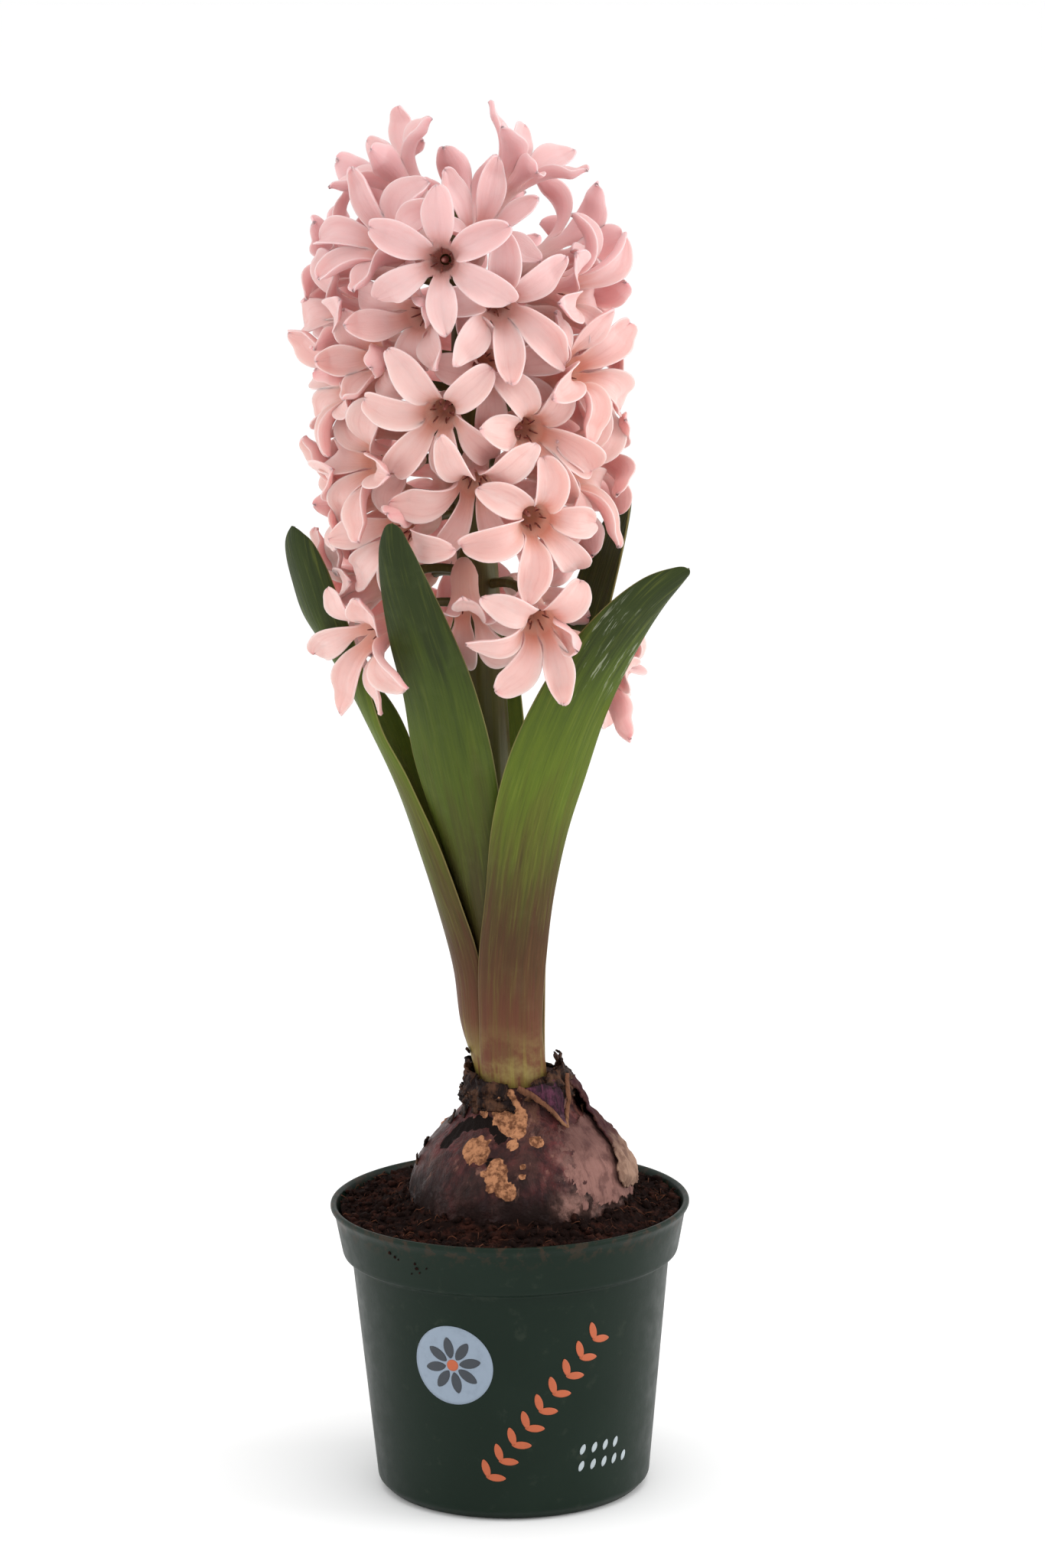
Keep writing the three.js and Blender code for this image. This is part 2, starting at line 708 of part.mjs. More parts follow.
// The places that the front doesn't show: each is the best of several seeded tries, the
// one that lies furthest from the florets that stand already.
function floretPlaces() {
  const places = FRONT_FLORETS.map((row) => {
    return floretPlace(row, row[0] > CROWN_FROM ? CROWN_SIZE : 1);
  });
  while (places.length < FLORET_COUNT) {
    let best = null;
    for (let k = 0; k < CANDIDATES; k += 1) {
      const height = HEAD_LOW + (HEAD_HIGH - HEAD_LOW) * random();
      const azimuth = 360 * random();
      const turn = TEPAL_SPACING * random();
      if (height < GAP_TOP && (azimuth + 360 - GAP_FROM) % 360 < GAP_SPAN) continue;
      const rise = smooth((height - HEAD_SHOULDER) / (HEAD_HIGH - HEAD_SHOULDER));
      const radius = THROAT_CIRCLE + (THROAT_CIRCLE_TOP - THROAT_CIRCLE) * rise;
      const level = NOD_LOW + NOD_RISE * smooth((height - HEAD_LOW) / NOD_SPAN);
      const row = [height, azimuth, radius, azimuth, level + SHOULDER_RISE * rise, turn];
      const place = floretPlace(row, 1);
      const room = Math.min(...places.map((other) => roomBetween(place, other)));
      if (!best || room > best.room) best = { room, place };
    }
    places.push(best.place);
  }
  return places;
}

// Florets: the form of one tepal.

function tepalHalfWidth(s) {
  const grown = TEPAL_HALF_WIDTH - TEPAL_BASE_HALF_WIDTH;
  const width = TEPAL_BASE_HALF_WIDTH + grown * smooth(s / TEPAL_WIDEST);
  if (s <= TEPAL_WIDEST) return width;
  const end = (s - TEPAL_WIDEST) / (1 - TEPAL_WIDEST);
  return width * Math.max(0, 1 - end ** TEPAL_TIP_BLUNT) ** TEPAL_TIP_ROUND;
}

// The middle line of a tepal in the plane of the floret's axis: radius, height and the
// angle from the axis, at a share s of its length.
function tepalLine(endAngle, length) {
  const step = 1 / TEPAL_LINE_STEPS;
  let radius = (MOUTH_RADIUS + THROAT_RADIUS) / 2;
  let height = TUBE_LENGTH;
  const line = [];
  for (let k = 0; k <= TEPAL_LINE_STEPS; k += 1) {
    const angle = TEPAL_START_ANGLE + (endAngle - TEPAL_START_ANGLE) * smooth(k * step);
    line.push([radius, height, angle * RADIANS]);
    radius += length * step * Math.sin(angle * RADIANS);
    height += length * step * Math.cos(angle * RADIANS);
  }
  return line;
}

function tepalPoint(place, line, middle, swing, s, across, face) {
  const step = Math.round(s * (line.length - 1));
  const [radius, height, angle] = line[step];
  const turn = (middle + swing * s * smooth(s / SWING_SETS_IN)) * RADIANS;
  const out = place.u.clone().multiplyScalar(Math.cos(turn));
  out.addScaledVector(place.v, Math.sin(turn));
  const side = place.axis.clone().cross(out);
  const normal = out.clone().multiplyScalar(-Math.cos(angle));
  normal.addScaledVector(place.axis, Math.sin(angle));
  const half = tepalHalfWidth(s);
  const lift = TEPAL_CHANNEL * half * across * across + face * TEPAL_HALF_THICKNESS;
  const point = place.foot.clone();
  point.addScaledVector(place.axis, height * place.size);
  point.addScaledVector(out, radius * place.size);
  point.addScaledVector(side, half * across * place.size);
  point.addScaledVector(normal, lift * place.size);
  return point;
}

// Each way that a tepal may bend, the plainest first.
const BENDS = [];
for (const share of LENGTH_SHARES) {
  for (const turn of BEND_TURNS) {
    for (const swing of SWINGS) {
      const turned = Math.abs(turn) * TURN_COST + Math.abs(swing) * SWING_COST;
      BENDS.push({ share, turn, swing, cost: turned + (1 - share) * SHORT_COST });
    }
  }
}

// The seat of a tepal is its number among all the tepals of the head.
function tepalForm(place, seat, bend) {
  const number = seat % TEPALS;
  const whorl = number % 2 === 0 ? OUTER_WHORL_ANGLE : INNER_WHORL_ANGLE;
  const opens = place.size < 1 ? CROWN_OPENS : 1;
  const sway = ANGLE_SWAY * Math.sin(ANGLE_BEAT * seat);
  const end = Math.min(TEPAL_LAST_ANGLE, whorl * opens + sway + bend.turn);
  const length = TEPAL_LENGTH * (1 + LENGTH_SWAY * Math.sin(LENGTH_BEAT * seat));
  const line = tepalLine(end, length * bend.share);
  const swing = bend.swing + LEAN_SWAY * Math.sin(LEAN_BEAT * seat);
  return { line, middle: number * TEPAL_SPACING, swing };
}

function tepalSamples(place, form) {
  const samples = [];
  for (let r = 0; r < SAMPLE_ROWS; r += 1) {
    const s = SAMPLE_START + ((1 - SAMPLE_START) * r) / (SAMPLE_ROWS - 1);
    for (const across of SAMPLE_SPREAD) {
      samples.push(tepalPoint(place, form.line, form.middle, form.swing, s, across, 0));
    }
  }
  const centre = samples.reduce((sum, p) => sum.add(p), vector(0, 0, 0));
  centre.divideScalar(samples.length);
  const reach = Math.max(...samples.map((p) => p.distanceTo(centre)));
  return { samples, centre, reach };
}

function nearest(a, b, limit) {
  let best = limit * limit;
  for (const p of a) {
    for (const q of b) {
      const d = p.distanceToSquared(q);
      if (d < best) best = d;
    }
  }
  return Math.sqrt(best);
}

function distanceToBar(point, bar) {
  const along = bar.to.clone().sub(bar.from);
  const t = point.clone().sub(bar.from).dot(along) / along.lengthSq();
  const share = Math.min(1, Math.max(0, t));
  return point.distanceTo(bar.from.clone().addScaledVector(along, share)) - bar.radius;
}

// What stands already and may not be touched: tubes, pedicels and the stem as round bars,
// and the leaves as points over their faces.
function standingBars(places) {
  const bars = [];
  places.forEach((place, owner) => {
    const radius = TUBE_BAR_RADIUS * place.size;
    bars.push({ from: place.foot, to: place.throat, radius, owner });
    const root = pedicelRoot(place);
    bars.push({ from: root, to: place.foot, radius: PEDICEL_RADIUS, owner: -1 });
  });
  for (let height = STEM_BAR_FROM; height < STEM_TIP; height += STEM_BAR_LENGTH) {
    const radius = between(STEM_RADII, height);
    const to = stemPoint(height + STEM_BAR_LENGTH);
    bars.push({ from: stemPoint(height), to, radius, owner: -1 });
  }
  return bars;
}

function leafPoints() {
  const points = [];
  for (const stations of Object.values(LEAVES)) {
    const { outer, inner } = leafFaces(stations);
    for (let r = BLADE_FIRST_STATION; r + 1 < outer.length; r += 1) {
      for (let c = 0; c <= LEAF_ARC_STEPS; c += 1) {
        for (let part = 0; part < BLADE_PARTS; part += 1) {
          const low = outer[r][c].clone().lerp(inner[r][c], 0.5);
          const high = outer[r + 1][c].clone().lerp(inner[r + 1][c], 0.5);
          points.push(low.lerp(high, part / BLADE_PARTS));
        }
      }
    }
  }
  return points;
}

// The pedicel leaves the stem a little lower than the floret's foot, or higher if it nods.
function pedicelRoot(place) {
  const drop = PEDICEL_DROP + PEDICEL_NOD * place.axis.z;
  return stemPoint(Math.min(STEM_TIP - PEDICEL_BELOW_TIP, place.foot.z - drop));
}

// Chooses a bend for every tepal so that no two tepals touch, going round the head a few
// times: each tepal takes the cheapest bend, given where all the others are.
function chooseBends(places) {
  const bars = standingBars(places);
  const blades = leafPoints();
  const tepals = [];
  places.forEach((place, owner) => {
    for (let number = 0; number < TEPALS; number += 1) {
      const seat = owner * TEPALS + number;
      const ways = BENDS.map((bend) => tepalSamples(place, tepalForm(place, seat, bend)));
      const nearBars = bars.filter((bar) => {
        const middle = bar.from.clone().lerp(bar.to, 0.5);
        return bar.owner !== owner && middle.distanceTo(place.throat) < BAR_SEARCH;
      });
      const nearBlades = blades.filter((p) => p.distanceTo(place.throat) < BLADE_SEARCH);
      const costs = ways.map((way, k) => {
        let cost = BENDS[k].cost;
        for (const bar of nearBars) {
          const gap = Math.min(...way.samples.map((p) => distanceToBar(p, bar)));
          cost += STANDING_WEIGHT * Math.max(0, BAR_CLEARANCE - gap) ** 2;
        }
        for (const p of way.samples) {
          const over = Math.hypot(p.x - stemPoint(p.z).x, p.y) - HEAD_REACH;
          cost += REACH_WEIGHT * Math.max(0, over) ** 2;
        }
        const gap = nearest(way.samples, nearBlades, BLADE_CLEARANCE);
        return cost + STANDING_WEIGHT * (BLADE_CLEARANCE - gap) ** 2;
      });
      tepals.push({ owner, number, ways, costs, chosen: 0 });
    }
  });
  for (const tepal of tepals) {
    const home = places[tepal.owner].throat;
    tepal.near = tepals.filter((other) => {
      return other !== tepal && places[other.owner].throat.distanceTo(home) < TEPAL_SEARCH;
    });
  }
  for (let sweep = 0; sweep < SWEEPS; sweep += 1) {
    for (const tepal of tepals) {
      const others = sweep === 0 ? tepal.near.filter((t) => t.placed) : tepal.near;
      let best = null;
      tepal.ways.forEach((way, k) => {
        let cost = tepal.costs[k];
        for (const other of others) {
          if (best && cost >= best.cost) break;
          const own = other.owner === tepal.owner;
          const clearance = own ? OWN_CLEARANCE : TEPAL_CLEARANCE;
          const rival = other.ways[other.chosen];
          const reach = way.reach + rival.reach + clearance;
          if (way.centre.distanceTo(rival.centre) > reach) continue;
          const skip = own ? OWN_SKIP_ROWS * SAMPLE_SPREAD.length : 0;
          const mine = skip ? way.samples.slice(skip) : way.samples;
          const theirs = skip ? rival.samples.slice(skip) : rival.samples;
          cost += TEPAL_WEIGHT * (clearance - nearest(mine, theirs, clearance)) ** 2;
        }
        if (!best || cost < best.cost) best = { cost, k };
      });
      tepal.chosen = best.k;
      tepal.placed = true;
    }
  }
  return tepals.map((tepal) => tepal.chosen);
}

// One floret: a ring round the mouth, with two points to a tepal, carries the six tepals,
// the tube closes below it, and the throat is sunk inside.
function floret(place, owner, bends) {
  const points = [];
  const faces = [];
  const put = (point) => points.push(point) - 1;
  const onRing = (radius, height, degrees) => {
    const a = degrees * RADIANS;
    const point = place.foot.clone();
    point.addScaledVector(place.axis, height * place.size);
    point.addScaledVector(place.u, radius * Math.cos(a) * place.size);
    point.addScaledVector(place.v, radius * Math.sin(a) * place.size);
    return put(point);
  };
  const mouth = [];
  const throat = [];
  for (let k = 0; k < MOUTH_POINTS; k += 1) {
    const degrees = (k * 360) / MOUTH_POINTS;
    mouth.push(onRing(MOUTH_RADIUS, TUBE_LENGTH, degrees));
    throat.push(onRing(THROAT_RADIUS, TUBE_LENGTH + THROAT_RISE, degrees));
  }
  const well = onRing(0, TUBE_LENGTH - THROAT_DEPTH, 0);
  for (let k = 0; k < MOUTH_POINTS; k += 1) {
    faces.push([throat[k], throat[(k + 1) % MOUTH_POINTS], well]);
  }
  const bulge = [];
  const foot = [];
  for (let k = 0; k < TEPALS; k += 1) {
    bulge.push(onRing(TUBE_BULGE_RADIUS, TUBE_BULGE_HEIGHT, k * TEPAL_SPACING));
    foot.push(onRing(TUBE_FOOT_RADIUS, 0, k * TEPAL_SPACING));
  }
  for (let k = 0; k < TEPALS; k += 1) {
    const next = (k + 1) % TEPALS;
    const m = 2 * k;
    const right = (m + MOUTH_POINTS - 1) % MOUTH_POINTS;
    faces.push([bulge[k], mouth[m], mouth[right]]);
    faces.push([bulge[k], mouth[m + 1], mouth[m]]);
    faces.push([bulge[k], bulge[next], mouth[m + 1]]);
    faces.push([foot[k], foot[next], bulge[next]], [foot[k], bulge[next], bulge[k]]);
  }
  for (let k = 1; k + 1 < TEPALS; k += 1) faces.push([foot[0], foot[k + 1], foot[k]]);
  for (let number = 0; number < TEPALS; number += 1) {
    const form = tepalForm(place, owner * TEPALS + number, BENDS[bends[number]]);
    const at = (s, across, face) => {
      return put(tepalPoint(place, form.line, form.middle, form.swing, s, across, face));
    };
    const m = 2 * number;
    const right = (m + MOUTH_POINTS - 1) % MOUTH_POINTS;
    const left = m + 1;
    const section = (s) => [at(s, -1, 0), at(s, 0, 1), at(s, 1, 0), at(s, 0, -1)];
    let ring = section(TEPAL_STATIONS[0]);
    const [edgeRight, top, edgeLeft, under] = ring;
    faces.push([throat[right], edgeRight, top], [throat[right], top, throat[m]]);
    faces.push([throat[m], top, edgeLeft], [throat[m], edgeLeft, throat[left]]);
    faces.push([mouth[right], under, edgeRight], [mouth[right], mouth[m], under]);
    faces.push([mouth[m], edgeLeft, under], [mouth[m], mouth[left], edgeLeft]);
    faces.push([mouth[right], edgeRight, throat[right]], [mouth[left], throat[left], edgeLeft]);
    for (const s of TEPAL_STATIONS.slice(1)) {
      const next = section(s);
      for (let k = 0; k < 4; k += 1) {
        const j = (k + 1) % 4;
        if (k < 2) faces.push([ring[k], next[k], next[j]], [ring[k], next[j], ring[j]]);
        else faces.push([ring[k], next[k], ring[j]], [next[k], next[j], ring[j]]);
      }
      ring = next;
    }
    const tip = at(1, 0, 0);
    for (let k = 0; k < 4; k += 1) faces.push([ring[k], tip, ring[(k + 1) % 4]]);
  }
  return closedBody(points, faces);
}

// The stem and its pedicels are one body. A pedicel ends square to its floret's foot.
function flowerStem(places) {
  const rings = STEM_RADII.map(([height, radius]) => {
    return ringAcross(stemPoint(height), vector(0, 0, 1), radius, STEM_SIDES);
  });
  let solid = toManifold(loft(rings));
  for (const place of places) {
    const root = pedicelRoot(place);
    const end = place.foot.clone().addScaledVector(place.axis, -SEAT_GAP);
    const along = end.clone().sub(root).normalize();
    const pedicel = loft([
      ringAcross(root, along, PEDICEL_RADIUS, PEDICEL_SIDES),
      ringAcross(end, place.axis, PEDICEL_RADIUS, PEDICEL_SIDES),
    ]);
    solid = solid.add(toManifold(pedicel));
  }
  return toGeometry(solid);
}

add('pot', pot(), FINISHES.pot);
add('soil', soil(), FINISHES.soil);
add('bulb', bulb(), FINISHES.bulb);
for (const [name, scale] of Object.entries(SCALES)) {
  add(name, tunicScale(scale), name === 'tunic_right' ? FINISHES.tunic : FINISHES.neckScale);
}
for (const [name, stations] of Object.entries(LEAVES)) {
  const { outer, inner } = leafFaces(stations);
  add(name, shell(outer, inner), FINISHES.leaf);
}

const places = floretPlaces();
const bends = chooseBends(places);
add('flower_stem', flowerStem(places), FINISHES.stem);
places.forEach((place, k) => {
  const name = `floret_${String(k + 1).padStart(2, '0')}`;
  add(name, floret(place, k, bends.slice(TEPALS * k, TEPALS * (k + 1))), FINISHES.floret);
});

export default group;
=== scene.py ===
# A potted pink hyacinth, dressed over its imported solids. +Z is up and the front faces -Y.
# Sizes are named in millimetres, as in the solids' own source, and every mesh is in metres.
import math
import random

import bmesh
import bpy
from mathutils import Matrix, Vector, noise
from mathutils.kdtree import KDTree


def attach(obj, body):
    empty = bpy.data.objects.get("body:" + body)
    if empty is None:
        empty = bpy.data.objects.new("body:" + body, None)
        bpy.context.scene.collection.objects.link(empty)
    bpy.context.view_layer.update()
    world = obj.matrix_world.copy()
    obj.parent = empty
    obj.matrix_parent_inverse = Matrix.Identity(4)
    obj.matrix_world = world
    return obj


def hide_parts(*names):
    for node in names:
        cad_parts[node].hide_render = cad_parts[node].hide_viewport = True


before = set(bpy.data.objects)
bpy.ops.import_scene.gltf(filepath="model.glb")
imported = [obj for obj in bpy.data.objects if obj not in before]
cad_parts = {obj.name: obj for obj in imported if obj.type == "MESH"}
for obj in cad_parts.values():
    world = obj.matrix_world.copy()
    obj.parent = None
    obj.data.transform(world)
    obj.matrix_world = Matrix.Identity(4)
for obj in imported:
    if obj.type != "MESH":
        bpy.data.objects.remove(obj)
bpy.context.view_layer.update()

MM = 0.001


# Camera: at the photograph's place, a little over the pot and looking down on it, with a
# long lens and a slight roll.
CAMERA_PLACE = Vector((4.65, -1443.04, 482.99)) * MM
CAMERA_PITCH = math.radians(-11.88)
CAMERA_ROLL = math.radians(-0.81)
PICTURE_HEIGHT = 2049
FOCAL_PIXELS = 7805
CAMERA_REACH = 60

camera = bpy.data.objects.new("camera", bpy.data.cameras.new("camera"))
camera.data.lens = FOCAL_PIXELS / PICTURE_HEIGHT * camera.data.sensor_width
camera.data.clip_end = CAMERA_REACH
upright = Matrix.Rotation(math.radians(90) + CAMERA_PITCH, 4, "X")
rolled = Matrix.Rotation(CAMERA_ROLL, 4, "Z")
camera.matrix_world = Matrix.Translation(CAMERA_PLACE) @ upright @ rolled
bpy.context.scene.collection.objects.link(camera)
bpy.context.scene.camera = camera


# Studio: a pale floor that runs out of the picture, an even white surround, and three soft
# boxes, the strongest at the right.
SURROUND = 1.0
SOFT_BOXES = [
    ("right_box", (1.35, -0.15, 0.6), 0.8, 7.6),
    ("left_box", (-1.35, -0.1, 0.6), 0.8, 3.0),
    ("top_box", (0.25, -0.7, 1.7), 1.0, 5),
]
LIGHT_AIM = Vector((0, 0, 0.2))
FLOOR_SIZE = 40


def paint(red, green, blue):
    """A colour from its display values, 0 to 255, as the linear RGBA that the shaders take."""
    values = []
    for value in (red, green, blue):
        share = value / 255
        values.append(share / 12.92 if share < 0.04045 else ((share + 0.055) / 1.055) ** 2.4)
    return (*values, 1)


def finish(name, colour, **sockets):
    """A material with its Principled shader's own sockets set, its node tree and the shader."""
    made = bpy.data.materials.new(name)
    made.use_nodes = True
    shader = made.node_tree.nodes["Principled BSDF"]
    shader.inputs["Base Color"].default_value = colour
    for socket, value in sockets.items():
        shader.inputs[socket.replace("_", " ")].default_value = value
    return made, made.node_tree, shader


def keep(name, work, finishes=()):
    """Puts a finished bmesh into a new, smooth object at the origin and frees the bmesh."""
    mesh = bpy.data.meshes.new(name)
    for face in work.faces:
        face.smooth = True
    work.to_mesh(mesh)
    work.free()
    for made in finishes:
        mesh.materials.append(made)
    piece = bpy.data.objects.new(name, mesh)
    bpy.context.scene.collection.objects.link(piece)
    return piece


world = bpy.data.worlds.new("surround")
world.use_nodes = True
world.node_tree.nodes["Background"].inputs["Color"].default_value = paint(255, 255, 255)
world.node_tree.nodes["Background"].inputs["Strength"].default_value = SURROUND
bpy.context.scene.world = world
bpy.context.scene.view_settings.view_transform = "Standard"

for name, place, size, power in SOFT_BOXES:
    light = bpy.data.objects.new(name, bpy.data.lights.new(name, "AREA"))
    light.data.size = size
    light.data.energy = power
    aim = LIGHT_AIM - Vector(place)
    light.matrix_world = Matrix.Translation(place) @ aim.to_track_quat("-Z", "Y").to_matrix().to_4x4()
    bpy.context.scene.collection.objects.link(light)

floor_work = bmesh.new()
bmesh.ops.create_grid(floor_work, x_segments=1, y_segments=1, size=FLOOR_SIZE / 2)
floor_finish, _, _ = finish("pale_floor", paint(255, 255, 255), Roughness=0.9)
floor = keep("floor", floor_work, [floor_finish])


# Pot: a 9 cm nursery pot, moulded in thin dark green polypropylene with a rolled lip and a
# deep stacking band. It has six drain holes in its flat floor and stands on it.
POT_HEIGHT = 73.5
POT_FLOOR = 1.6
POT_WALL = 1.3
POT_BASE_RADIUS = 34.2
POT_BASE_CORNER = 2.4
POT_WALL_TOP_RADIUS = 39.8
POT_BAND_FOOT = 60.6
POT_WALL_TOP = POT_BAND_FOOT - 0.9
POT_BAND_RADIUS = 42.1
POT_LIP_FOOT = 70.7
POT_LIP_RADIUS = 43.9
POT_RIM_RADIUS = 45
POT_STEPS = 160
POT_ROUNDING = 0.8
POT_SHARP_FROM = 50
DRAIN_HOLES = 6
DRAIN_HOLE_RADIUS = 3.2
DRAIN_HOLE_CIRCLE = 22
DRAIN_CUT_DEPTH, DRAIN_CUT_SIDES = 10, 40
POT_GREEN = paint(15, 30, 21)
POT_GREEN_PALE = paint(27, 42, 33)


def turn_profile(work, profile, steps, middle=(0, 0)):
    """Spins an outline of (radius, height) in millimetres about an upright axis into a body."""
    spots = [work.verts.new((radius * MM, 0, height * MM)) for radius, height in profile]
    edges = [work.edges.new(pair) for pair in zip(spots, spots[1:])]
    bmesh.ops.spin(
        work, geom=spots + edges, axis=(0, 0, 1), cent=(0, 0, 0),
        angle=math.radians(360), steps=steps, use_merge=True,
    )
    bmesh.ops.remove_doubles(work, verts=work.verts, dist=1e-6)
    bmesh.ops.recalc_face_normals(work, faces=work.faces)
    bmesh.ops.translate(work, verts=work.verts, vec=(middle[0] * MM, middle[1] * MM, 0))


def rounded(profile, corner, steps=3):
    """An outline with each inner corner replaced by a short curve."""
    points = [Vector(profile[0])]
    for before, here, after in zip(profile, profile[1:], profile[2:]):
        here, before, after = Vector(here), Vector(before), Vector(after)
        cut = min(corner, (before - here).length * 0.45, (after - here).length * 0.45)
        start = here + (before - here).normalized() * cut
        end = here + (after - here).normalized() * cut
        for k in range(steps + 1):
            share = k / steps
            points.append(start.lerp(here, share).lerp(here.lerp(end, share), share))
    points.append(Vector(profile[-1]))
    return points


def add_node(tree, kind, sockets=None, **settings):
    """A shader node with its settings, its sockets set to values or linked to outputs."""
    node = tree.nodes.new("ShaderNode" + kind)
    for setting, value in settings.items():
        setattr(node, setting, value)
    for socket, value in (sockets or {}).items():
        if isinstance(value, bpy.types.NodeSocket):
            tree.links.new(value, node.inputs[socket])
        else:
            node.inputs[socket].default_value = value
    return node


def blend_colours(tree, share, first, second):
    """The colour between two, at a share that changes over the surface."""
    mix = add_node(tree, "Mix", {0: share, 6: first, 7: second}, data_type="RGBA")
    return mix.outputs[2]


def maths(tree, operation, first, second=0.0):
    node = add_node(tree, "Math", {0: first, 1: second}, operation=operation)
    return node.outputs[0]


def step_up(tree, value, low, high):
    """0 under low, 1 over high and a soft step between."""
    node = add_node(
        tree, "MapRange", {0: value, 1: low, 2: high}, interpolation_type="SMOOTHSTEP"
    )
    return node.outputs[0]


def tinted(tree, tone, mask, strength, colour):
    """A tone with a colour laid over it, by a mask and a strength."""
    return blend_colours(tree, maths(tree, "MULTIPLY", mask, strength), tone, colour)


def own_place(tree):
    return add_node(tree, "TexCoord").outputs["Object"]


def height_of(tree, place):
    """The height of the shaded spot, in metres."""
    return add_node(tree, "SeparateXYZ", {0: place}).outputs["Z"]


def noise_height(tree, vector, scale, detail, **more):
    """Plain noise over the surface; more sets its other sockets."""
    sockets = {"Vector": vector, "Scale": scale, "Detail": detail, **more}
    return add_node(tree, "TexNoise", sockets).outputs[0]


def roughen(tree, shader, value, low, high, least, most):
    """Sets the roughness from least to most, as a value goes from low to high."""
    node = add_node(tree, "MapRange", {0: value, 1: low, 2: high, 3: least, 4: most})
    tree.links.new(node.outputs[0], shader.inputs["Roughness"])


def bump(tree, shader, height, depth, strength=1.0):
    """Feeds a height to the shader's normal; depth is in millimetres."""
    node = add_node(tree, "Bump", {"Height": height, "Distance": depth * MM, "Strength": strength})
    tree.links.new(node.outputs[0], shader.inputs["Normal"])


def shader_group(name, inputs, outputs):
    """An empty node group, from (name, kind) sockets, with its input and its output node."""
    group = bpy.data.node_groups.new(name, "ShaderNodeTree")
    for socket, kind in inputs:
        group.interface.new_socket(socket, in_out="INPUT", socket_type="NodeSocket" + kind)
    for socket, kind in outputs:
        group.interface.new_socket(socket, in_out="OUTPUT", socket_type="NodeSocket" + kind)
    return group, group.nodes.new("NodeGroupInput"), group.nodes.new("NodeGroupOutput")


# Mottle: patches with soft torn edges, for stains, dust and uneven colour.
mottle, mottle_in, mottle_out = shader_group(
    "mottle",
    [("Vector", "Vector"), ("Scale", "Float"), ("Low", "Float"), ("High", "Float")],
    [("Mask", "Float"), ("Height", "Float")],
)
patches = add_node(
    mottle, "TexNoise",
    {"Vector": mottle_in.outputs["Vector"], "Scale": mottle_in.outputs["Scale"], "Detail": 6.0,
     "Roughness": 0.62},
)
patch_mask = step_up(
    mottle, patches.outputs[0], mottle_in.outputs["Low"], mottle_in.outputs["High"]
)
mottle.links.new(patch_mask, mottle_out.inputs["Mask"])
mottle.links.new(patches.outputs[0], mottle_out.inputs["Height"])


def mottled(tree, vector, scale, low, high):
    """The mottle group in a material, as its mask and height outputs."""
    node = add_node(tree, "Group", node_tree=mottle)
    tree.links.new(vector, node.inputs["Vector"])
    for socket, value in (("Scale", scale), ("Low", low), ("High", high)):
        node.inputs[socket].default_value = value
    return node.outputs["Mask"], node.outputs["Height"]


pot_profile = [
    (0, 0),
    (POT_BASE_RADIUS - POT_BASE_CORNER, 0),
    (POT_BASE_RADIUS, POT_BASE_CORNER),
    (POT_WALL_TOP_RADIUS, POT_WALL_TOP),
    (POT_BAND_RADIUS - 0.3, POT_BAND_FOOT - 0.2),
    (POT_BAND_RADIUS, POT_BAND_FOOT + 0.6),
    (POT_LIP_RADIUS, POT_LIP_FOOT),
    (POT_RIM_RADIUS, POT_HEIGHT - 1.1),
    (POT_RIM_RADIUS - 0.1, POT_HEIGHT - 0.3),
    (POT_RIM_RADIUS - 0.7, POT_HEIGHT),
    (POT_RIM_RADIUS - 1.5, POT_HEIGHT - 0.4),
    (POT_LIP_RADIUS - POT_WALL, POT_LIP_FOOT - 0.3),
    (POT_BAND_RADIUS - POT_WALL, POT_BAND_FOOT + 0.9),
    (POT_WALL_TOP_RADIUS - POT_WALL, POT_WALL_TOP),
    (POT_BASE_RADIUS - POT_WALL, POT_FLOOR + 0.8),
    (POT_BASE_RADIUS - POT_WALL - 1, POT_FLOOR),
    (0, POT_FLOOR),
]
pot_work = bmesh.new()
turn_profile(pot_work, rounded(pot_profile, POT_ROUNDING), POT_STEPS)
pot_piece = keep("nursery_pot", pot_work)

holes_work = bmesh.new()
for k in range(DRAIN_HOLES):
    turn = 2 * math.pi * k / DRAIN_HOLES
    place = Vector((math.cos(turn), math.sin(turn), 0)) * DRAIN_HOLE_CIRCLE * MM
    bmesh.ops.create_cone(
        holes_work, cap_ends=True, segments=DRAIN_CUT_SIDES, depth=DRAIN_CUT_DEPTH * MM,
        radius1=DRAIN_HOLE_RADIUS * MM, radius2=DRAIN_HOLE_RADIUS * MM,
        matrix=Matrix.Translation(place),
    )
holes_piece = keep("drain_holes", holes_work)
cut = pot_piece.modifiers.new("drain_holes", "BOOLEAN")
cut.operation = "DIFFERENCE"
cut.object = holes_piece
pierced = pot_piece.evaluated_get(bpy.context.evaluated_depsgraph_get())
pot_mesh = bpy.data.meshes.new_from_object(pierced)
pot_piece.modifiers.clear()
pot_piece.data = pot_mesh
bpy.data.objects.remove(holes_piece)
pot_mesh.shade_smooth()
pot_mesh.set_sharp_from_angle(angle=math.radians(POT_SHARP_FROM))

